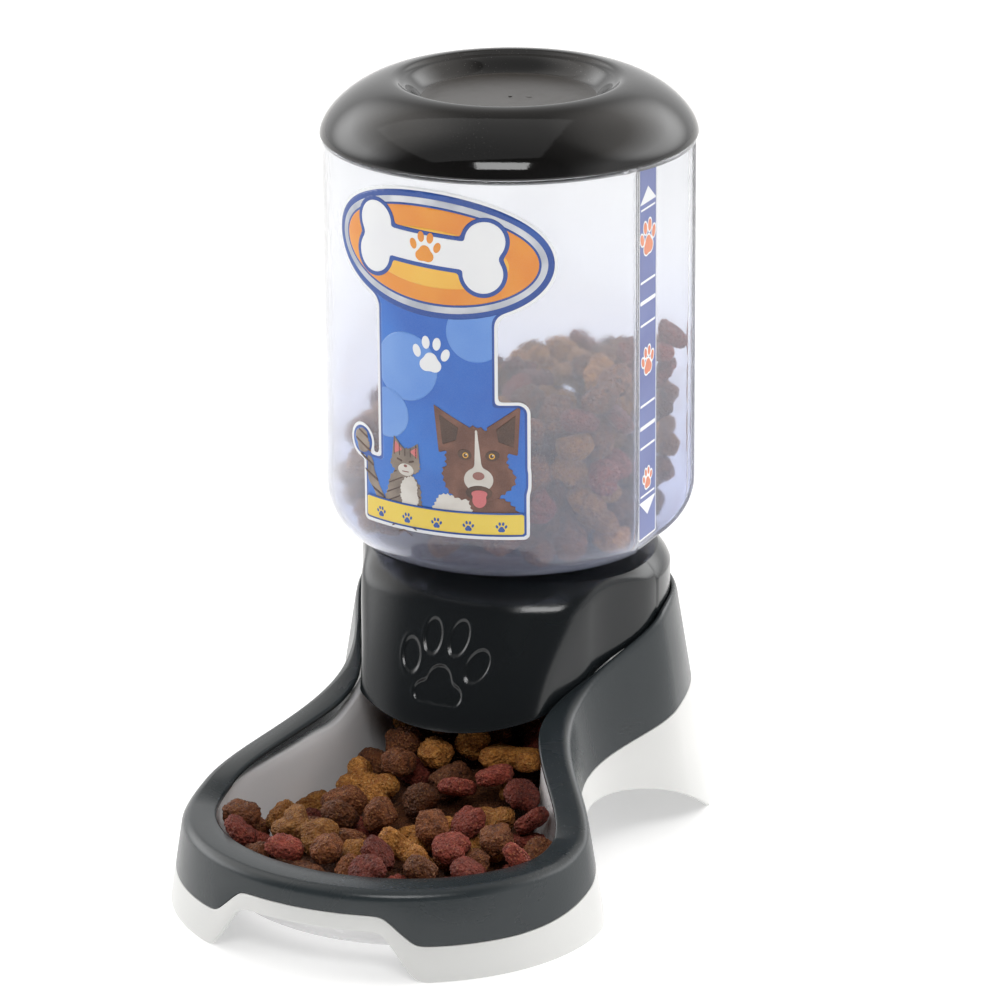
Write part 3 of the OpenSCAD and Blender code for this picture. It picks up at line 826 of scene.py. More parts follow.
hood = {
    "radius": 69.9, "front": 80.0, "deckFront": 53.0, "power": 2.5, "lip": 60.0, "deck": 120.0,
    "crownLow": 109.0, "reveal": 0.9,
    "collarInner": 40.3, "collarOuter": 43.3, "hole": 41.8, "collarLow": 86.0, "seat": 125.0,
    "bossLow": 89.3, "pawDepth": 0.75, "pawLip": 0.14,
}


def crownInset(z):
    # the hood's top edge rounds over into its deck
    return 6 * max(0.0, (z - hood["crownLow"]) / (hood["deck"] - hood["crownLow"])) ** 2


def hoodHalfX(z):
    return hood["radius"] - 1.8 + 1.8 * ease((z - 60) / 40) - crownInset(z)


def hoodHalfY(z):
    run = max(0.0, (z - hood["lip"]) / (hood["deck"] - hood["lip"]))
    return hood["front"] - (hood["front"] - hood["deckFront"]) * run ** 1.2 - crownInset(z)


def flankAt(y):
    return halfAt(y) - (lean(ridgeAt(y)) + bandAt(y) + hood["reveal"]) * slopeFactor(y)


def hoodPoint(a, z, d=0.0):
    if a > 180:
        c, s = math.cos(math.radians(a)), math.sin(math.radians(a))
        y = -(hoodHalfY(z) - d) * abs(s) ** (2 / hood["power"])
        x = (hoodHalfX(z) - d) * abs(c) ** (2 / hood["power"])
        side = flankAt(y) - d
        k = 1.6 + 5.4 * ease((-y - 8) / 24)  # soft corner where the snout meets the flank
        x = (x + side - math.sqrt((x - side) ** 2 + k * k)) / 2 + 0.5 * k * math.exp(-((
            x - side) / 8) ** 2) * 0.6
        return math.copysign(max(0.0, x), c), y, z
    r = min(hoodHalfX(z), 88 - lean(100) - feeder["wall"] - 0.3) - d
    return *polar(r, math.radians(a)), z


cornerX = flankAt(-feeder["waistY"])


def hoodLow(a):
    x, y, _ = hoodPoint(a, hood["lip"] + 4)
    if y > -feeder["waistY"]:
        return ridgeAt(y) - 4
    return hood["lip"] + (ridgeAt(-feeder["waistY"]) - 4 - hood["lip"]) * min(1.0, abs(x) / cornerX) ** 2


pawToes = [(-16.6, 88.4, 4.7, 7.6, 12), (-7.8, 97.0, 4.6, 7.8, 4), (4.4, 97.6, 4.8, 8.0, -10),
    (14.6, 87.6, 5.2, 7.8, -26)]


def pawDistance(x, z):
    # signed distance to the paw's outline, negative inside
    best = 1e3
    for cx, cz, a, b, tilt in pawToes:
        u, v = seenFrom(x, z, cx, cz, tilt)
        best = min(best, (math.hypot(u / a, v / b) - 1) * a)
    pad = 1e3
    for cx, cz, r in ((-1.6, 81.0, 5.6), (-8.6, 75.0, 4.6), (5.6, 74.6, 4.6), (-1.4, 76.4, 6.2)):
        d = math.hypot(x - cx, z - cz) - r
        pad = d if pad > 900 else -math.log(math.exp(-pad / 1.2) + math.exp(-d / 1.2)) * 1.2
    return min(best, pad)


def buildHood():
    h = hood
    wall = feeder["wall"]
    # angles that give even steps along the hood's middle line, closer together over the paw
    trial = np.linspace(180, 360, 1500)
    line = np.array([hoodPoint(a, 85)[:2] for a in trial])
    gaps = np.linalg.norm(np.diff(line, axis=0), axis=1)
    weight = np.where(np.abs(line[1:, 0]) < 26, 2.2, 1.0)
    run = np.concatenate([[0], np.cumsum(gaps * weight)])
    frontAngles = np.interp(np.linspace(0, run[-1], 300)[1:-1], run, trial)
    angles = list(np.linspace(0, 180, 110)) + list(frontAngles)
    columns = 84
    sections = []
    for a in angles:
        low = hoodLow(a)
        outer = []
        for t in np.linspace(0, 1, columns):
            z = low + (h["deck"] - low) * (1 - (1 - t) ** 1.35)
            outer.append(hoodPoint(a, z))
        if a > 180:
            for j, (x, y, z) in enumerate(outer):
                if abs(x) < 26 and 66 < z < 109:
                    d = pawDistance(x, z)
                    press = h["pawDepth"] * (1 - ease((d + 1.0) / 1.0)) if d < 0 else 0
                    lip = h["pawLip"] * math.exp(-((d - 0.5) / 0.55) ** 2)
                    outer[j] = (x, y + press - lip, z)
        # round the lower edge and turn into the deck
        lowIn = hoodPoint(a, low, wall)
        edge = [hoodPoint(a, low + 0.5, wall), lowIn[:2] + (low + 0.05,),
            hoodPoint(a, low - 0.25, wall * 0.6), hoodPoint(a, low - 0.2, 0.35)]
        radians = math.radians(a)
        top = outer[-1]
        hole = polar(h["hole"], radians)
        deckLine = [tuple(np.array(top) * (1 - t) + np.array([*hole, h["deck"]]) * t) for t in (0.08, 0.5,
            1)]
        under = [(*hole, h["deck"] - wall)]
        inside = [hoodPoint(a, min(low + (h["deck"] - low) * t, h["deck"] - wall - 1.2),
            wall) for t in (0.97, 0.9, 0.8, 0.6, 0.4, 0.2)]
        sections.append(outer + deckLine + under + inside + edge)
    shell = loft(sections)
    ring = rounded([(h["collarInner"], h["collarLow"]), (h["collarInner"], h["seat"]),
        (h["collarOuter"], h["seat"]), (h["collarOuter"], h["collarLow"])], [0.6, 1.0, 1.0, 0.6], 4)
    parts = [shell, turn(ring, 160)]
    for a in bosses["angles"]:
        a = math.radians(a)
        at = polar(darkShell["lugRadius"], a)
        parts.append(boss(h["bossLow"], h["deck"] - 1.2, at))
    made = makeObject("darkHood", *joinParts(parts), [hoodPlastic], sharpAt=48)
    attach(made, "base")
    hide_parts("hood")


buildHood()
print("hood built")


# ---------- clear bottle with its side groove ----------

bottle = {
    "radius": (bottleBox[1].x - bottleBox[0].x) / 2 / mm, "bottom": 125.3, "shoulder": 305.3,
    "corner": 25.0, "neck": 40.0,
    "neckLow": bottleBox[0].z / mm, "mouth": 74.0, "mouthTop": bottleBox[1].z / mm, "wall": 2.0,
    "grooveX": 64.0, "grooveHalf": 11.0, "grooveSide": 2.0, "grooveSoft": 1.6,
}


def grooveRadius(a):
    # distance from the axis to the groove's floor or side at angle a
    a = abs((a + math.pi) % (2 * math.pi) - math.pi)
    if a > math.radians(40):
        return 1e3
    b = bottle
    floor = b["grooveX"] / math.cos(a)
    reach = b["grooveX"] * b["grooveSide"] - b["grooveHalf"]
    side = reach / max(0.05, b["grooveSide"] * math.cos(a) - math.sin(a))
    k = 1.2
    return (floor + side + math.sqrt((floor - side) ** 2 + k * k)) / 2


def bottleRadius(a, r, inGroove):
    g = grooveRadius(a)
    if not inGroove or g > 300:
        return r
    k = bottle["grooveSoft"]
    return (r + g - math.sqrt((r - g) ** 2 + k * k)) / 2 if abs(r - g) < 12 else min(r, g)


def buildBottle():
    b = bottle
    r, c = b["radius"], b["corner"]
    # radius, height and whether the groove cuts in, from the mouth down to the outlet
    line = [(b["mouth"] - 0.6, b["mouthTop"], 0), (b["mouth"], b["mouthTop"] - 0.6, 0),
        (b["mouth"], b["shoulder"] + 1, 0), (b["mouth"] + 0.8, b["shoulder"], 0)]
    line += [(r - 1.6, b["shoulder"], 0)] + [(r - 1.6 + 1.6 * math.sin(t),
        b["shoulder"] - 0.9 + 0.9 * math.cos(t), 0) for t in (0.5, 1.0, math.pi / 2)]
    line += [(r, b["shoulder"] - 1.95, 0), (r, b["shoulder"] - 2.0, 1)]
    line += [(r, z, 1) for z in np.linspace(b["shoulder"] - 4, b["bottom"] + c, 40)]
    line += [(r - c + c * math.cos(t), b["bottom"] + c - c * math.sin(t), 1) for t in np.linspace(0.06,
        math.pi / 2, 26)]
    line += [(50, b["bottom"], 1), (b["neck"] + 1.6, b["bottom"], 1),
        (b["neck"] + 0.5, b["bottom"] - 0.4, 1), (b["neck"], b["bottom"] - 1.6, 1)]
    line += [(b["neck"], b["bottom"] - 14, 1), (b["neck"], b["neckLow"], 1)]
    angles = sorted(set(np.round(np.concatenate([np.linspace(-math.pi, math.pi, 241)[:-1],
        np.linspace(-0.5, 0.5, 121)]), 5)))
    points = []
    for a in angles:
        for rr, z, g in line:
            q = bottleRadius(a, rr, g and rr > 58)
            points.append((*polar(q, a), z))
    k = len(line)
    n = len(angles)
    faces = []
    for i in range(n):
        p, q = i * k, ((i + 1) % n) * k
        faces += [(p + j, q + j, q + j + 1, p + j + 1) for j in range(k - 1)]
    made = makeObject("clearBottle", points, faces, [bottleClear], sharpAt=60)
    thicken(made, b["wall"])
    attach(made, "container")
    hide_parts("container")


buildBottle()
print("bottle built")


# ---------- domed lid with a dish ----------

lid = {
    "radius": (lidBox[1].x - lidBox[0].x) / 2 / mm, "low": lidBox[0].z / mm, "crest": lidBox[1].z / mm,
    "thick": 2.2,
    "dishRadius": 39.0, "dishDepth": 8.0, "lip": 48.0, "bulge": 1.25,
}


def buildLid():
    q = lid
    height = q["crest"] - q["low"]
    floor = q["crest"] - q["dishDepth"]
    outer = [(0.01, floor + 0.1), (9, floor + 0.09), (18, floor + 0.06), (28, floor + 0.02),
        (q["dishRadius"] - 4, floor)]
    for t in np.linspace(0.06, 0.94, 16):
        outer.append((q["dishRadius"] - 3 + (q["lip"] - q["dishRadius"] + 1.6) * t,
            floor + (q["dishDepth"] - 1.6) * ease(t) ** 0.9))
    outer += [(q["lip"] - 0.9, q["crest"] - 0.95), (q["lip"] - 0.1, q["crest"] - 0.42),
        (q["lip"] + 0.9, q["crest"] - 0.1)]
    span = q["radius"] - q["lip"] - 2
    for t in np.linspace(0, math.pi / 2, 44):
        outer.append((q["lip"] + 2 + span * math.sin(t) ** q["bulge"],
            q["low"] + 0.35 + (height - 0.35) * math.cos(t) ** q["bulge"]))
    outer += [(q["radius"] - 0.1, q["low"] + 0.08), (q["radius"] - 0.4, q["low"])]
    inner = [(q["radius"] - q["thick"], q["low"])]
    for t in np.linspace(math.pi / 2 * 0.85, 0, 20):
        inner.append((q["lip"] + 2 + span * math.sin(t) ** q["bulge"] - q["thick"] * (
            0.35 + 0.65 * math.sin(t)), q["low"] + height * math.cos(t) ** q["bulge"] - q["thick"]))
    for t in (0.85, 0.6, 0.4, 0.15):
        inner.append((q["dishRadius"] - 1.4 + (q["lip"] - q["dishRadius"]) * t,
            floor - q["thick"] + (q["dishDepth"] - 2) * ease(t)))
    inner += [(q["dishRadius"] - 4, floor - q["thick"]), (0.01, floor - q["thick"])]
    parts = [turn(outer + inner, 288)]
    # small stub where the moulding was fed
    parts.append(turn([(0.01, floor + 0.5), (0.8, floor + 0.45), (1.1, floor - 0.3), (0.01, floor - 0.35)],
        24, (1.5, -2)))
    parts.append(turn([(0.01, floor + 0.3), (1.5, floor + 0.22), (1.8, floor - 0.2), (0.01, floor - 0.3)],
        24, (9, 1)))
    points, faces = joinParts(parts)
    # the dish's floor has a finer, duller finish, and a lighter brown-grey colour that is a painted
    # reflection
    dull = [int(all(math.hypot(*points[k][:2]) < q["dishRadius"] - 1.5 and points[k][
        2] > floor - 1 for k in face)) for face in faces]
    made = makeObject("blackLid", points, faces, [blackGloss, dishSatin], dull, sharpAt=50)
    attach(made, "lid")
    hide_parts("lid")


buildLid()
print("lid built")


# ---------- printed patches: areas inside a signed distance, laid on a surface ----------

def patch(distance, x0, x1, z0, z1, cell, place):
    # cells cut along the zero line of distance(x, z); place turns (x, z) into a point
    nx, nz = int((x1 - x0) / cell) + 1, int((z1 - z0) / cell) + 1
    xs, zs = np.linspace(x0, x1, nx + 1), np.linspace(z0, z1, nz + 1)
    value = np.array([[distance(x, z) for z in zs] for x in xs])
    value[np.abs(value) < 1e-6] = 1e-6
    points, faces, known = [], [], {}

    def corner(x, z):
        key = (round(x, 4), round(z, 4))
        if key not in known:
            known[key] = len(points)
            points.append(place(x, z))
        return known[key]

    for i in range(nx):
        for j in range(nz):
            square = [(i, j), (i + 1, j), (i + 1, j + 1), (i, j + 1)]
            if all(value[a] > 0 for a in square):
                continue
            face = []
            for s in range(4):
                a, b = square[s], square[(s + 1) % 4]
                va, vb = value[a], value[b]
                if va < 0:
                    face.append(corner(xs[a[0]], zs[a[1]]))
                if (va < 0) != (vb < 0):
                    t = va / (va - vb)
                    face.append(corner(xs[a[0]] + (xs[b[0]] - xs[a[0]]) * t,
                        zs[a[1]] + (zs[b[1]] - zs[a[1]]) * t))
            face = tuple(dict.fromkeys(face))
            if len(face) > 2:
                faces.append(face)
    return points, faces


def layered(name, layers, body, node, thickness):
    # each layer is (distance, bounds, cell, place, ink)
    parts, slots, used = [], [], []
    for distance, (x0, x1, z0, z1), cell, place, ink in layers:
        points, faces = patch(distance, x0, x1, z0, z1, cell, place)
        parts.append((points, faces))
        if ink not in used:
            used.append(ink)
        slots += [used.index(ink)] * len(faces)
    points, faces = joinParts(parts)
    mesh = bpy.data.meshes.new(name)
    co = (np.asarray(points, float) + np.array([0, towerY, 0])) * mm
    mesh.from_pydata(co.tolist(), [], faces)
    for ink in used:
        mesh.materials.append(inks[ink])
    mesh.polygons.foreach_set("material_index", slots)
    mesh.polygons.foreach_set("use_smooth", [True] * len(faces))
    made = bpy.data.objects.new(name, mesh)
    bpy.context.scene.collection.objects.link(made)
    thicken(made, thickness)
    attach(made, body)
    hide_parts(node)


def ellipse(x, z, cx, cz, a, b, tilt=0.0):
    u, v = seenFrom(x, z, cx, cz, tilt)
    length = math.hypot(u / a, v / b)
    slope = math.hypot(u / (a * a), v / (b * b))
    return (length - 1) * length / slope if slope > 1e-6 else -min(a, b)


def box2(x, z, x0, x1, z0, z1, r=0.0):
    dx = abs(x - (x0 + x1) / 2) - (x1 - x0) / 2 + r
    dz = abs(z - (z0 + z1) / 2) - (z1 - z0) / 2 + r
    return math.hypot(max(dx, 0), max(dz, 0)) + min(max(dx, dz), 0) - r


def capsule(x, z, xa, za, xb, zb, r):
    px, pz, dx, dz = x - xa, z - za, xb - xa, zb - za
    t = max(0.0, min(1.0, (px * dx + pz * dz) / (dx * dx + dz * dz)))
    return math.hypot(px - dx * t, pz - dz * t) - r


def blendMin(a, b, k):
    h = max(0.0, min(1.0, 0.5 + 0.5 * (b - a) / k))
    return b + (a - b) * h - k * h * (1 - h)


def paw(x, z, cx, cz, size, tilt=0.0):
    # a plain paw print: one pad and four toes; size is about half its width
    u, v = (part / size for part in seenFrom(x, z, cx, cz, tilt))
    d = blendMin(ellipse(u, v, -0.22, -0.5, 0.36, 0.34), ellipse(u, v, 0.22, -0.5, 0.36, 0.34), 0.15)
    d = blendMin(d, ellipse(u, v, 0, -0.18, 0.34, 0.32), 0.15)
    for tx, tz, toeTilt in ((-0.76, 0.12, 20), (-0.29, 0.62, 6), (0.29, 0.62, -6), (0.76, 0.12, -20)):
        d = min(d, ellipse(u, v, tx, tz, 0.21, 0.33, toeTilt))
    return d * size


def bone(x, z, cx, cz, half, tilt):
    u, v = seenFrom(x, z, cx, cz, tilt)
    v = abs(v)
    knob = half * 0.25
    d = math.hypot(abs(u) - (half - knob), v - knob * 0.82) - knob
    return blendMin(d, capsule(u, v, -half + knob, 0, half - knob, 0, half * 0.18), 1.5)


# ---------- sticker on the bottle's front ----------

sticker = {"badgeZ": 271.9, "badgeHalfW": 54.2, "badgeHalfH": 28.8, "badgeTilt": -4.0, "rise": 0.27,
    "step": 0.035}


def stickerPlace(level):
    r = bottle["radius"] + sticker["rise"] + sticker["step"] * level

    def place(s, z):
        a = s / bottle["radius"]
        return r * math.sin(a), -r * math.cos(a), z
    return place


def badge(s, z):
    q = sticker
    return ellipse(s, z, 0.6, q["badgeZ"], q["badgeHalfW"], q["badgeHalfH"], q["badgeTilt"])


def wedge(x, z, corners, r=0.0):
    # convex area between corners given clockwise
    best = -1e3
    for (xa, za), (xb, zb) in zip(corners, corners[1:] + corners[:1]):
        long = math.hypot(xb - xa, zb - za)
        best = max(best, ((z - za) * (xb - xa) - (x - xa) * (zb - za)) / long)
    return best - r


def furry(d, x, z, depth, tufts):
    # breaks an edge into small tufts round the point (x, z) is measured from
    a = math.atan2(z, x)
    return d + depth * (abs(math.sin(a * tufts)) + 0.6 * math.sin(a * tufts * 0.37) - 0.5)


def stickerArea(s, z):
    # the die-cut shape: badge, stem, block with the animals, tail and ear
    d = blendMin(badge(s, z) + 0.8, box2(s, z, -27, 28.5, 176, 262, 3), 5)
    d = blendMin(d, box2(s, z, -36.5, 41.5, 149.5, 180, 2), 2)
    d = blendMin(d, box2(s, z, 12, 42, 168, 209.5, 5), 2)
    return blendMin(d, ellipse(s, z, -38, 184, 7.4, 7.4), 2)


def catEars(s, z):
    return min(wedge(s, z, [(-18.6, 190.5), (-12.6, 184.6), (-19.8, 180)]),
        wedge(s, z, [(-6.4, 188.8), (-5.8, 180), (-12.4, 184.6)]))


def catHead(s, z):
    return min(furry(ellipse(s, z, -13, 179.6, 7.4, 6.6), s + 13, z - 179.6, 0.7, 13), catEars(s, z))


def catBody(s, z):
    return furry(ellipse(s, z, -14, 161, 9.6, 15), s + 14, z - 161, 0.8, 15)


def catTail(s, z):
    d = blendMin(capsule(s, z, -24, 158, -31, 168, 2.8), capsule(s, z, -31, 168, -36.6, 181, 3.2), 2)
    return furry(blendMin(d, ellipse(s, z, -38, 184.6, 4.6, 5.0), 2), s + 38, z - 184, 0.7, 11)


def dogEars(s, z):
    return min(wedge(s, z, [(1.6, 206.5), (16, 198.5), (14, 190), (3.6, 187)], 0.4),
        wedge(s, z, [(37.8, 207.6), (36.6, 187), (26, 190), (24.5, 198.5)], 0.4))


def dogHead(s, z):
    d = blendMin(ellipse(s, z, 20, 186.5, 13.2, 12.2), ellipse(s, z, 20, 176, 15.6, 10.5), 4)
    return min(furry(d, s - 20, z - 180, 1.0, 17), dogEars(s, z))


def dogBlaze(s, z):
    narrow = capsule(s, z, 19.6, 197, 20.3, 182, 0.5 + max(0.0, 196 - z) * 0.07)
    return blendMin(narrow, ellipse(s, z, 20.5, 175.6, 6.2, 5.4), 2)


def buildSticker():
    b0 = (-58, 59, 147, 304)
    low = (-48, 44, 147, 212)
    top = (-57, 58, 239, 304)
    q = sticker

    def shape(draw, *sizes, inset=0.0):
        return lambda s, z: draw(s, z, *sizes) + inset

    def both(one, two):
        return lambda s, z: max(one(s, z), two(s, z))

    def disc(cx, cz, r):
        return lambda s, z: math.hypot(s - cx, z - cz) - r

    def eyes(places, r):
        return lambda s, z: min(math.hypot(s - cx, z - cz) for cx, cz in places) - r

    within = shape(stickerArea, inset=2.0)
    layers = [
        (shape(stickerArea, inset=-0.4), b0, 1.1, 0, "white"),
        (shape(stickerArea, inset=1.0), b0, 1.1, 1, "navy"),
        (within, b0, 1.1, 2, "blue"),
        (both(within, disc(-12, 222, 15)), (-30, 30, 200, 246), 1.0, 3, "pale"),
        (both(within, disc(20, 240, 13)), (-30, 34, 220, 256), 1.0, 3, "pale"),
        (both(within, disc(-22, 200, 11)), (-34, 0, 186, 214), 1.0, 3, "pale"),
        (shape(badge, inset=2.2), top, 0.9, 4, "navy"),
        (shape(badge, inset=4.6), top, 0.9, 5, "silver"),
        (shape(badge, inset=7.4), top, 0.9, 6, "navy"),
        (shape(badge, inset=8.4), top, 0.9, 7, "orange"),
        (shape(ellipse, 0, q["badgeZ"] - 1, 34, 12.5, q["badgeTilt"]), (-36, 36, 256, 290), 0.9, 8,
            "amber"),
        (lambda s, z: bone(s, z, -2, q["badgeZ"] + 2.5, 34, q["badgeTilt"]) - 1.8, (-46, 42, 250, 294), 0.8,
            9, "navy"),
        (lambda s, z: bone(s, z, -2, q["badgeZ"] + 2.5, 34, q["badgeTilt"]), (-46, 42, 250, 294), 0.8, 10,
            "white"),
        (shape(paw, -2, q["badgeZ"] + 3.2, 7.2, q["badgeTilt"]), (-12, 8, 264, 286), 0.5, 11, "orange"),
        (shape(paw, 0, 228.5, 8.6, -3), (-11, 11, 216, 240), 0.5, 4, "white"),
        (both(within, catTail), low, 0.6, 5, "fur"),
        (both(catTail, lambda s, z: abs(math.sin((z + s * 0.4) * 0.62)) * 2 - 0.7), low, 0.5, 6, "umber"),
        (both(within, catBody), low, 0.6, 5, "fur"),
        (both(catBody, lambda s, z: abs(math.sin((z + abs(s + 14) * 0.5) * 0.8)) * 2 - 0.5), low, 0.5, 6,
            "umber"),
        (both(within, lambda s, z: furry(ellipse(s, z, -11, 165, 4.4, 9.5), s + 11, z - 165, 0.6, 12)), low,
            0.5, 7, "cream"),
        (both(within, catHead), low, 0.5, 8, "fur"),
        (both(catHead, lambda s, z: max(182 - z, abs(math.sin((s + 13) * 1.15)) * 2 - 0.6)), low, 0.4, 9,
            "umber"),
        (shape(ellipse, -12.6, 176.2, 3.9, 2.7), (-18, -6, 172, 181), 0.4, 9, "cream"),
        (lambda s, z: min(wedge(s, z, [(-17.9, 188.4), (-14.2, 184.8), (-18.6, 182.6)]),
            wedge(s, z, [(-7.0, 186.9), (-6.8, 182), (-10.6, 184.6)])), (-20, -5, 180,
            190), 0.4, 9, "pink"),
        (lambda s, z: min(capsule(s, z, -16.8, 180.5, -14.7, 179.9, 0.42),
            capsule(s, z, -10.7, 179.9, -8.8, 180.5, 0.42)), (-19, -7, 177, 183), 0.3, 10, "umber"),
        (lambda s, z: min(ellipse(s, z, -12.7, 177.9, 0.9, 0.6),
            capsule(s, z, -14.2, 175.4, -11.2, 175.4, 0.2)), (-16, -10, 174, 180), 0.25, 11, "nose"),
        (both(within, lambda s, z: furry(ellipse(s, z, 19, 158, 20, 11), s - 19, z - 158, 1.0, 19)), low,
            0.7, 5, "bark"),
        (both(within, lambda s, z: furry(ellipse(s, z, 9, 160, 9.5, 8.5), s - 9, z - 160, 1.0, 14)), low,
            0.6, 6, "cream"),
        (both(within, dogHead), low, 0.5, 8, "bark"),
        (both(dogHead, lambda s, z: min(wedge(s, z, [(3.4, 203.4), (12, 198), (11, 192.5), (5, 190)]),
            wedge(s, z, [(36.2, 204.4), (35.4, 190), (29, 192.5), (28, 198)]))), low, 0.5, 9, "umber"),
        (both(dogHead, lambda s, z: min(ellipse(s, z, 14.6, 186.4, 3.0, 2.4, -12),
            ellipse(s, z, 26.4, 186.4, 3.0, 2.4, 12))), low, 0.4, 9, "umber"),
        (dogBlaze, (10, 32, 166, 201), 0.4, 10, "cream"),
        (eyes(((15.0, 186.2), (26.2, 186.2)), 1.25), (12, 29, 184, 189), 0.3, 11, "amber"),
        (eyes(((15.0, 186.2), (26.2, 186.2)), 0.85), (12, 29, 184, 189), 0.25, 12, "umber"),
        (eyes(((15.4, 186.6), (26.6, 186.6)), 0.28), (12, 29, 184, 189), 0.15, 13, "white"),
        (shape(ellipse, 20.6, 169.8, 5.6, 3.2), (12, 29, 165, 175), 0.4, 11, "umber"),
        (lambda s, z: blendMin(ellipse(s, z, 20.8, 166.6, 3.0, 3.4), ellipse(s, z, 20.8, 169.4, 3.4, 1.6),
            1), (12, 29, 161, 173), 0.4, 12, "pink"),
        (shape(ellipse, 20.5, 177.3, 2.5, 1.8), (16, 25, 174, 181), 0.3, 12, "nose"),
        (lambda s, z: max(stickerArea(s, z) + 1.6, z - 161.2), (-40, 44, 147, 165), 0.9, 14, "navy"),
        (lambda s, z: max(stickerArea(s, z) + 2.0, z - 160.4), (-40, 44, 147, 165), 0.9, 15, "yellow"),
    ]
    # small paws along the band
    layers += [(lambda s, z, c=c: paw(s, z, c, 154.8, 2.5, 0), (c - 4, c + 4, 150, 160), 0.3, 16,
        "navy") for c in (-26, -12, 2, 16, 30)]
    ready = [(d, bounds, cell, stickerPlace(level), ink) for d, bounds, cell, level, ink in layers]
    layered("frontSticker", ready, "container", "front_label", 0.02)


buildSticker()
print("sticker printed")


# ---------- strip in the groove ----------

stripLook = {"low": stripBox[0].z / mm, "high": stripBox[1].z / mm, "half": 9.5, "edge": 0.9, "rise": 0.04}


def buildStrip():
    q = stripLook
    x0 = stripBox[1].x / mm

    def place(level):
        return lambda s, z: (x0 + q["rise"] * level, s, z)

    lo, hi = q["low"], q["high"]
    whole = (-10.5, 10.5, lo - 0.5, hi + 0.5)
    layers = [
        (lambda s, z: box2(s, z, -q["half"], q["half"], lo, hi, 0.8), whole, 0.8, place(0), "white"),
        (lambda s, z: box2(s, z, -q["half"] + q["edge"], q["half"] - q["edge"], lo + 0.8, hi - 0.8, 0.4),
            whole, 0.8, place(1), "strip"),
    ]
    for cz, size, tilt in ((265.5, 8.2, 6), (211, 6.6, 6), (158, 5.0, 6)):
        bounds = (-9.4, 9.4, cz - 10, cz + 10)
        layers.append((lambda s, z, c=cz, w=size, t=tilt: paw(s, z, 0, c, w, t) - 0.7, bounds, 0.4,
            place(2), "white"))
        layers.append((lambda s, z, c=cz, w=size, t=tilt: paw(s, z, 0, c, w, t), bounds, 0.35, place(3),
            "paw"))
    ticks = [(247, 0.55), (238, 0.9), (228, 0.55), (192, 0.55), (182, 0.9), (173, 0.55)]
    for cz, thick in ticks:
        bounds = (-9, 9, cz - 3, cz + 3)
        layers.append((lambda s, z, c=cz, w=thick: capsule(s, z, -7.4, c, 7.4, c, w), bounds, 0.4, place(2),
            "white"))
    # arrowheads at the full and low marks
    for cz, way in ((284.5, 1), (145.5, -1)):
        bounds = (-9, 9, cz - 6, cz + 6)
        layers.append((lambda s, z, c=cz, w=way: max(abs(s) * 0.62 + (z - c) * w * 0.78 - 3.0,
            -(z - c) * w - 3.2), bounds, 0.4, place(2), "white"))
        layers.append((lambda s, z, c=cz, w=way: box2(s, z, -7.6, 7.6, c - 5.6 * w - 0.45,
            c - 5.6 * w + 0.45), (-9, 9, cz - 7, cz + 7), 0.3, place(2), "white"))
    layered("gaugeStrip", layers, "container", "level_strip", 0.02)


buildStrip()
print("strip printed")


# ---------- parts that keep the frame's own shape ----------

def finishNode(name, material):
    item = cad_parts[name]
    if not item.material_slots:
        item.data.materials.append(None)
    for holder in item.material_slots:
        holder.material = material


finishNode("foot_pads", footRubber)
finishNode("lid_seal", paleSilicone)
finishNode("shell_screws", screwSteel)
finishNode("hood_screws", screwSteel)


# ---------- dry food: not part of the feeder, so it is staged, but it rides with what holds it ----------

kibbleLook = {"grid": 1.5, "bowlPieces": 330, "storePieces": 560, "sink": 0.7, "fine": 0.2, "crumb": 0.5,
    "size": 1.02}


def kibblePlan(kind, a):
    # half-width of the piece at angle a, seen from above
    if kind == "bone":
        best = 0.0
        for cx, cy, r in ((7.2, 3.5, 4.3), (7.2, -3.5, 4.3), (-7.2, 3.5, 4.3), (-7.2, -3.5, 4.3),
            (0, 0, 4.6), (3.5, 0, 4.3), (-3.5, 0, 4.3)):
            along = cx * math.cos(a) + cy * math.sin(a)
            inside = along * along - (cx * cx + cy * cy - r * r)
            if inside > 0:
                best = max(best, along + math.sqrt(inside))
        return best
    if kind == "heart":
        return 7.6 * (1 - 0.2 * math.exp(-((a - math.pi / 2) / 0.35) ** 2) + 0.17 * math.exp(-((
            a + math.pi / 2) / 0.4) ** 2))
    n = 3.0
    long, wide = (9.2, 6.4) if kind == "log" else (7.4, 6.4)
    return (abs(math.cos(a) / long) ** n + abs(math.sin(a) / wide) ** n) ** (-1 / n)


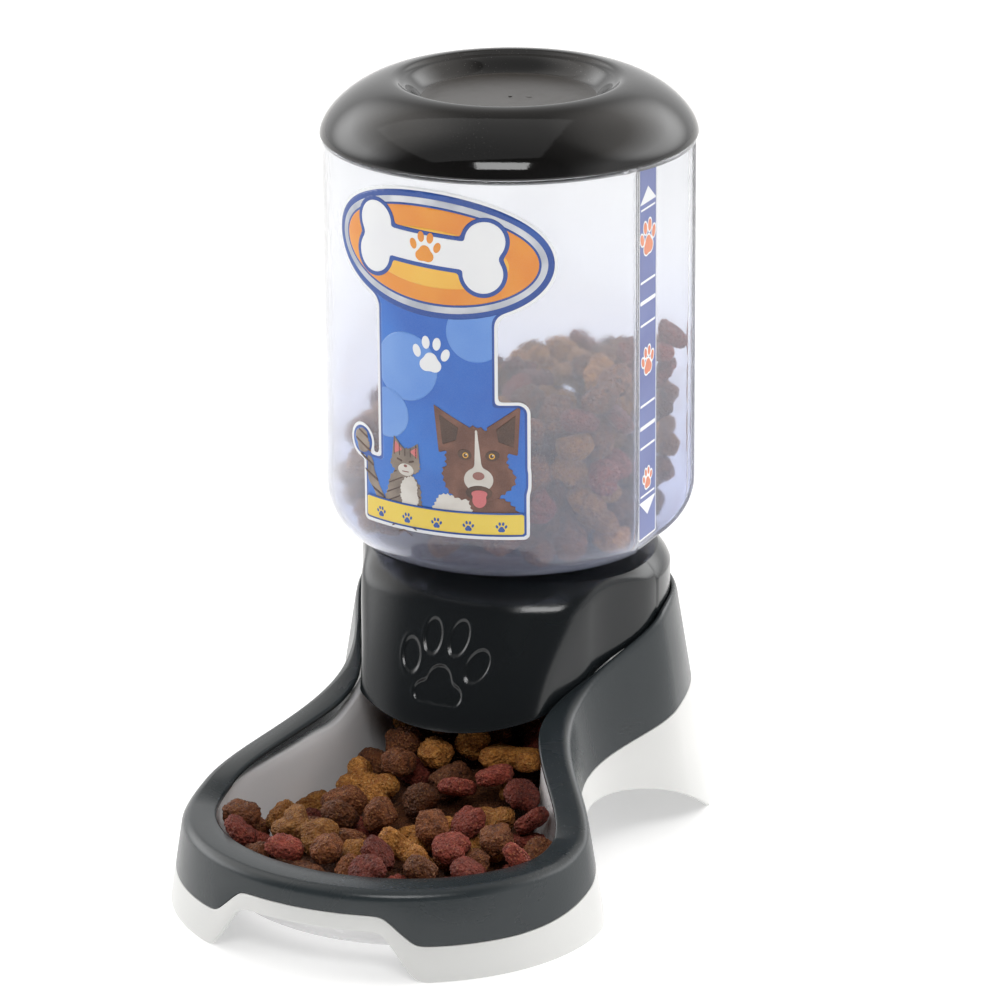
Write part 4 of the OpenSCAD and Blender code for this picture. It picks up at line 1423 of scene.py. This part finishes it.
def kibbleMesh(name, kind, seed, material):
    half = {"bone": 4.4, "heart": 3.6, "log": 5.9, "nugget": 5.0}[kind]
    shape = bmesh.new()
    bmesh.ops.create_icosphere(shape, subdivisions=5, radius=1)
    shift = Vector((seed * 7.3, seed * 3.1, seed * 5.7))
    for v in shape.verts:
        x, y, z = v.co
        a = math.atan2(y, x)
        flat = min(1.0, math.hypot(x, y))
        r = kibblePlan(kind, a) * flat ** 0.62
        h = half * math.copysign(abs(z) ** 0.72, z)
        if kind == "bone":
            h *= 0.82 + 0.18 * min(1, abs(r * math.cos(a)) / 6)
        p = Vector((r * math.cos(a), r * math.sin(a), h))
        if kind == "log":
            # three ridges along the piece
            swell = 1 + 0.1 * math.cos(3 * math.atan2(p.z, p.y) + seed) * min(1.0, math.hypot(p.y, p.z) / 3)
            p.y, p.z = p.y * swell, p.z * swell
        lump = noise.noise(p * 0.16 + shift) * 1.1 + noise.noise(p * 0.5 + shift) * 0.55
        rough = noise.noise(p * 0.95 + shift) * kibbleLook["crumb"] + noise.noise(
            p * 1.9 + shift) * 0.28 + noise.noise(p * 3.6 + shift) * kibbleLook["fine"]
        v.co = (p + p.normalized() * (lump + rough)) * mm * kibbleLook["size"] * (
            1.14 if kind == "bone" else 1)
    mesh = bpy.data.meshes.new(name)
    shape.to_mesh(mesh)
    shape.free()
    mesh.polygons.foreach_set("use_smooth", [True] * len(mesh.polygons))
    mesh.materials.append(material)
    return mesh


def bakedFood(name, light, dark, fleck):
    # crumbly baked surface: mottled crust, pale flecks, and painted shade that darkens the pits and creases
    material, tree, shader = startMaterial(name)
    place = addNode(tree, "ShaderNodeTexCoord").outputs["Object"]
    chance = addNode(tree, "ShaderNodeObjectInfo").outputs["Random"]
    moved = addNode(tree, "ShaderNodeVectorMath",
        {0: place, 1: addNode(tree, "ShaderNodeCombineXYZ", {0: chance, 1: chance}).outputs[0]},
        operation="ADD").outputs[0]
    mottle = noiseNode(tree, moved, 260.0, 6.0, 0.7)
    crumbs = noiseNode(tree, moved, 900.0, 4.0, 0.7)
    pits = addNode(tree, "ShaderNodeTexVoronoi", {"Vector": moved, "Scale": 800.0})
    crust = remap(tree, mottle, 0.36, 0.64)
    base = mixColour(tree, crust, (*dark, 1), (*light, 1))
    pale = remap(tree, crumbs, 0.56, 0.66, 0, 0.7)
    base = mixColour(tree, pale, base, (*fleck, 1))
    # painted shade: the pits are darkened
    hole = remap(tree, pits.outputs["Distance"], 0.3, 0.1, 0, 0.7)
    base = mixColour(tree, hole, base, tuple(c * 0.35 for c in dark) + (1,))
    # painted shade: creases, where the surface folds inward, are darkened
    deep = remap(tree, addNode(tree, "ShaderNodeNewGeometry").outputs["Pointiness"], 0.5, 0.42, 0, 0.5)
    base = mixColour(tree, deep, base, tuple(c * 0.4 for c in dark) + (1,))
    shade = addNode(tree, "ShaderNodeHueSaturation",
        {"Value": mathNode(tree, "ADD", mathNode(tree, "MULTIPLY", chance, 0.7), 0.6), "Color": base})
    tree.links.new(shade.outputs[0], shader.inputs["Base Color"])
    height = mathNode(tree, "ADD", mathNode(tree, "MULTIPLY", crumbs, 0.6),
        mathNode(tree, "MULTIPLY", pits.outputs["Distance"], 0.7))
    setBump(tree, shader, 1.0, 0.002, height)
    tree.links.new(remap(tree, mottle, 0, 1, 0.42, 0.7), shader.inputs["Roughness"])
    shader.inputs["Specular IOR Level"].default_value = 0.4
    return material


foodTan = bakedFood("foodTan", (0.62, 0.26, 0.05), (0.31, 0.1, 0.017), (0.8, 0.5, 0.18))
foodBrown = bakedFood("foodBrown", (0.29, 0.093, 0.028), (0.1, 0.027, 0.009), (0.62, 0.3, 0.1))
foodRed = bakedFood("foodRed", (0.36, 0.065, 0.038), (0.16, 0.026, 0.016), (0.6, 0.23, 0.11))
kibbleKinds = [
    ("log", foodBrown, 0.27), ("nugget", foodBrown, 0.17), ("bone", foodTan, 0.23),
    ("heart", foodRed, 0.17), ("bone", foodBrown, 0.08), ("nugget", foodTan, 0.08),
]


def kibbleShapes():
    shapes = []
    for kind, material, share in kibbleKinds:
        for version in range(2):
            mesh = kibbleMesh(f"kibble{kind.title()}{material.name[4:]}{version + 1}", kind,
                len(shapes) + 1, material)
            co = np.zeros(len(mesh.vertices) * 3)
            mesh.vertices.foreach_get("co", co)
            shapes.append((mesh, co.reshape(-1, 3) / mm, share / 2))
    return shapes


def pourKibble(label, shapes, count, bounds, ground, ceiling, body, seed):
    # drops turned pieces one by one onto a height field and leaves each where it first touches
    dice = np.random.default_rng(seed)
    cell = kibbleLook["grid"]
    x0, x1, y0, y1 = bounds
    xs = np.arange(x0, x1 + cell, cell)
    ys = np.arange(y0, y1 + cell, cell)
    field = np.array([[ground(x, y) for y in ys] for x in xs])
    limit = np.array([[ceiling(x, y) for y in ys] for x in xs])
    open_ = np.argwhere(np.isfinite(limit) & (field < limit))
    shares = np.array([s[2] for s in shapes])
    shares /= shares.sum()
    placed, misses = 0, 0
    tries = np.zeros(len(open_))
    while placed < count and misses < 220:
        # the emptiest places are tried first
        need = (limit - field)[open_[:, 0], open_[:, 1]]
        likely = np.clip(need, 0, None) ** 2 / (1 + tries) + 1e-6
        likely /= likely.sum()
        mesh, co, _ = shapes[dice.choice(len(shapes), p=shares)]
        turnBy = Matrix.Rotation(dice.uniform(0, 6.283), 3, "Z") @ Matrix.Rotation(dice.normal(0, 0.42), 3,
            "X") @ Matrix.Rotation(dice.normal(0, 0.5), 3, "Y")
        pts = co @ np.array(turnBy).T
        # lowest and highest of the piece over each cell of its footprint
        gx, gy = np.round(pts[:, 0] / cell).astype(int), np.round(pts[:, 1] / cell).astype(int)
        ox, oy = gx.min(), gy.min()
        lower = np.full((gx.max() - ox + 1, gy.max() - oy + 1), np.inf)
        upper = np.full(lower.shape, -np.inf)
        np.minimum.at(lower, (gx - ox, gy - oy), pts[:, 2])
        np.maximum.at(upper, (gx - ox, gy - oy), pts[:, 2])
        used = np.isfinite(lower)
        best = None
        for pick in dice.choice(len(open_), 26, p=likely):
            i, j = open_[pick]
            tries[pick] += 1
            a, b = i + ox, j + oy
            if a < 0 or b < 0 or a + lower.shape[0] > len(xs) or b + lower.shape[1] > len(ys):
                continue
            under = field[a:a + lower.shape[0], b:b + lower.shape[1]]
            if not np.isfinite(under[used]).all():
                continue
            z = (under - lower)[used].max()
            over = z - limit[i, j]
            if over > 0:
                continue
            score = over + dice.uniform(0, 2.0)
            if best is None or score < best[0]:
                best = (score, z, a, b, i, j)
        if best is None:
            misses += 1
            continue
        misses = 0
        _, z, a, b, i, j = best
        z -= kibbleLook["sink"]
        window = field[a:a + lower.shape[0], b:b + lower.shape[1]]
        window[used] = np.maximum(window[used], z + upper[used])
        made = bpy.data.objects.new(f"{label}{placed + 1:03d}", mesh)
        made.matrix_world = Matrix.Translation(Vector((xs[i], ys[j] + towerY, z)) * mm) @ turnBy.to_4x4()
        bpy.context.scene.collection.objects.link(made)
        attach(made, body)
        placed += 1
    print(label, placed, "pieces")


def bowlEdgeDistance(x, y):
    pts = np.array(bowlLoop)
    d = np.hypot(pts[:, 0] - x, pts[:, 1] - y)
    k = int(d.argmin())
    inside = (x - pts[k][0]) * bowlInward[k][0] + (y - pts[k][1]) * bowlInward[k][1] > 0
    return d[k] if inside else -d[k]


def bowlCore(x, y, d):
    # hidden underside of the heap, two layers below its top
    return bowlLevel(x, y) - 15.5 - 16 * (1 - ease((d - 3) / 9))


def bowlSurface(y, d):
    top, floor = bowlTop(y), bowlFloor(y)
    share = float(np.interp(d, bowl["wallIn"], bowl["wallShare"]))
    return floor + (top - floor) * share + 0.4


def bowlGround(x, y):
    d = bowlEdgeDistance(x, y)
    if d < 0.3 or y > 8:
        return math.inf
    return max(bowlSurface(y, d), bowlCore(x, y, d))


def bowlLevel(x, y):
    # height the middle of a piece may lie at: level at the front,
    # up to the hood's lip behind, lower along the left wall
    level = 37 + 12 * ease((y + 122) / 50) + 8 * ease((y + 75) / 40)
    left = 12 * ease((-x - 18) / 34) * ease((y + 148) / 40)
    return level - left


def bowlCeiling(x, y):
    if y > -20 or bowlEdgeDistance(x, y) < 2:
        return -math.inf
    return bowlLevel(x, y)


def buildHeap():
    # uneven dark surface under the two top layers
    spots, faces = {}, []
    xs, ys = np.arange(-72, 73, 3.0), np.arange(-180, 0, 3.0)
    points = []
    for i, x in enumerate(xs):
        for j, y in enumerate(ys):
            d = bowlEdgeDistance(x, y)
            if d > 3.5:
                spots[i, j] = len(points)
                points.append((x, y, max(bowlSurface(y, d),
                    bowlCore(x, y, d) - 1.5 + 1.2 * noise.noise(Vector((x, y, 0)) * 0.2))))
    for i, j in spots:
        corner = [(i, j), (i + 1, j), (i + 1, j + 1), (i, j + 1)]
        if all(c in spots for c in corner):
            faces.append([spots[c] for c in corner])
    made = makeObject("bowlHeap", points, faces, [foodBrown])
    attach(made, "base")


shapes = kibbleShapes()
pourKibble("bowlKibble", shapes, kibbleLook["bowlPieces"], (-84, 84, -200, 10), bowlGround, bowlCeiling,
    "base", 5)
buildHeap()


def storeGround(x, y):
    # the bottle's floor, with a core that stands for the hidden middle of the heap
    a, r = math.atan2(y, x), math.hypot(x, y)
    if r > bottleRadius(a, bottle["radius"], 1) - 2.6:
        return math.inf
    edge = max(0.0, r - (bottle["radius"] - bottle["corner"]))
    floor = bottle["bottom"] + 2.4 + bottle["corner"] - math.sqrt(max(0.0,
        (bottle["corner"] - 2) ** 2 - edge ** 2)) - 0.4
    core = 168 - 52 * ease((r - 36) / 16)
    return max(floor, core)


def storeCeiling(x, y):
    # heap slopes up towards the back and the right
    if math.hypot(x, y) > 74:
        return -math.inf
    return 191 + 0.17 * x + 0.08 * y + 11 * ease((x - 36) / 26) + 2.5 * math.sin(
        x / 19 + 0.4) + 2 * math.cos(y / 21)


pourKibble("storeKibble", shapes, kibbleLook["storePieces"], (-80, 80, -80, 80), storeGround, storeCeiling,
    "container", 11)


def buildCore():
    # dark middle of the heap, never seen through the pieces round it
    points, faces = turn([(0.01, 130), (40, 131), (44, 140), (38, 158), (32, 165), (0.01, 167)], 64)
    made = makeObject("heapCore", points, faces, [foodBrown])
    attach(made, "container")


buildCore()


# ---------- floor, light and camera ----------

studio = {
    "floor": 0.9, "floorGlow": 0.36, "horizon": 1.02, "zenith": 0.36, "openSide": (0.1, -0.92, 0.37),
    "panels": [(-0.79, 0.02, 0.61), (0.51, 0.61, 0.61)], "panelGain": 2.6,
    "target": (-0.00458, 0.05848, 0.13919),
    "keyLamp": {"place": (0.55, -1.5, 1.9), "size": (1.1, 0.6), "power": 16},
    "topLamp": {"place": (-0.45, -0.2, 2.25), "size": (2.4, 2.4), "power": 7},
    "distance": 2.24, "azimuth": 24.67, "elevation": 19.08, "roll": -0.416, "lens": 184.84,
}


def buildFloor():
    mesh = bpy.data.meshes.new("studioFloor")
    size = 9.0
    mesh.from_pydata([(-size, -size, 0), (size, -size, 0), (size, size, 0), (-size, size, 0)], [],
        [(0, 1, 2, 3)])
    material, tree, shader = startMaterial("studioPaper")
    grain = placeGroup(tree, mouldGrain, Grain_Scale=80, Wave_Scale=3, Wave_Share=0.5)
    tint = mixColour(tree, grain.outputs["Cloud"],
        (studio["floor"], studio["floor"], studio["floor"] * 0.995, 1),
        (studio["floor"] * 0.985, studio["floor"] * 0.985, studio["floor"] * 0.98, 1))
    tree.links.new(tint, shader.inputs["Base Color"])
    shader.inputs["Roughness"].default_value = 0.9
    shader.inputs["Specular IOR Level"].default_value = 0.1
    shader.inputs["Emission Color"].default_value = (1, 1, 1, 1)
    shader.inputs["Emission Strength"].default_value = studio["floorGlow"]
    mesh.materials.append(material)
    made = bpy.data.objects.new("studioFloor", mesh)
    bpy.context.scene.collection.objects.link(made)


def buildSky():
    world = bpy.data.worlds.new("studioSky")
    bpy.context.scene.world = world
    world.use_nodes = True
    tree = world.node_tree
    way = addNode(tree, "ShaderNodeTexCoord").outputs["Generated"]
    up = addNode(tree, "ShaderNodeSeparateXYZ", {0: way}).outputs[2]
    bright, dim = studio["horizon"], studio["zenith"]
    sky = rampNode(tree, mathNode(tree, "ADD", mathNode(tree, "MULTIPLY", up, 0.5), 0.5), [
        (0.0, (1, 1, 1)), (0.7, (1, 1, 1)), (0.86, (dim, dim * 0.96, dim * 0.92)),
        (1.0, (dim * 0.6, dim * 0.58, dim * 0.56)),
    ])
    # the open side of the studio, in front of the bowl, is dim
    ahead = addNode(tree, "ShaderNodeVectorMath", {0: way, 1: studio["openSide"]},
        operation="DOT_PRODUCT").outputs["Value"]
    room = rampNode(tree, mathNode(tree, "ADD", mathNode(tree, "MULTIPLY", ahead, 0.5), 0.5),
        [(0.0, (1, 1, 1)), (0.62, (1, 1, 1)), (0.82, (0.12, 0.12, 0.125)), (1.0, (0.05, 0.05, 0.05))])
    back = tree.nodes["Background"]
    tree.links.new(mixColour(tree, 1.0, sky, room, blend_type="MULTIPLY"), back.inputs["Color"])
    # two soft bright panels, high on the left and on the right
    glow = 0.0
    for aim in studio["panels"]:
        toward = addNode(tree, "ShaderNodeVectorMath", {0: way, 1: aim},
            operation="DOT_PRODUCT").outputs["Value"]
        glow = mathNode(tree, "ADD", addNode(tree, "ShaderNodeMapRange", {0: toward, 1: 0.76, 2: 0.95},
            interpolation_type="SMOOTHSTEP").outputs[0], glow)
    lift = mathNode(tree, "MULTIPLY", glow, bright * studio["panelGain"])
    tree.links.new(mathNode(tree, "ADD", lift, bright), back.inputs["Strength"])


def softLamp(name, aim):
    look = studio[name]
    place = look["place"]
    data = bpy.data.lights.new(name, "AREA")
    data.shape = "RECTANGLE"
    data.size, data.size_y = look["size"]
    data.energy = look["power"]
    lamp = bpy.data.objects.new(name, data)
    lamp.location = place
    lamp.rotation_euler = (Vector(aim) - Vector(place)).to_track_quat("-Z", "Y").to_euler()
    bpy.context.scene.collection.objects.link(lamp)


def buildCamera():
    az, el, roll = (math.radians(studio[k]) for k in ("azimuth", "elevation", "roll"))
    back = Vector((math.sin(az) * math.cos(el), -math.cos(az) * math.cos(el), math.sin(el)))
    right = Vector((math.cos(az), math.sin(az), 0))
    up = back.cross(right)
    xAxis = right * math.cos(roll) + up * math.sin(roll)
    yAxis = back.cross(xAxis)
    data = bpy.data.cameras.new("viewpoint")
    data.lens = studio["lens"]
    data.sensor_width = 36
    data.clip_end = 50
    made = bpy.data.objects.new("viewpoint", data)
    turned = Matrix((xAxis, yAxis, back)).transposed().to_4x4()
    made.matrix_world = Matrix.Translation(Vector(studio["target"]) + back * studio["distance"]) @ turned
    bpy.context.scene.collection.objects.link(made)
    bpy.context.scene.camera = made


buildFloor()
buildSky()
softLamp("keyLamp", (0, 0, 0.12))
softLamp("topLamp", (0, 0, 0.1))
buildCamera()
bpy.context.scene.view_settings.view_transform = "Standard"
print("studio ready")
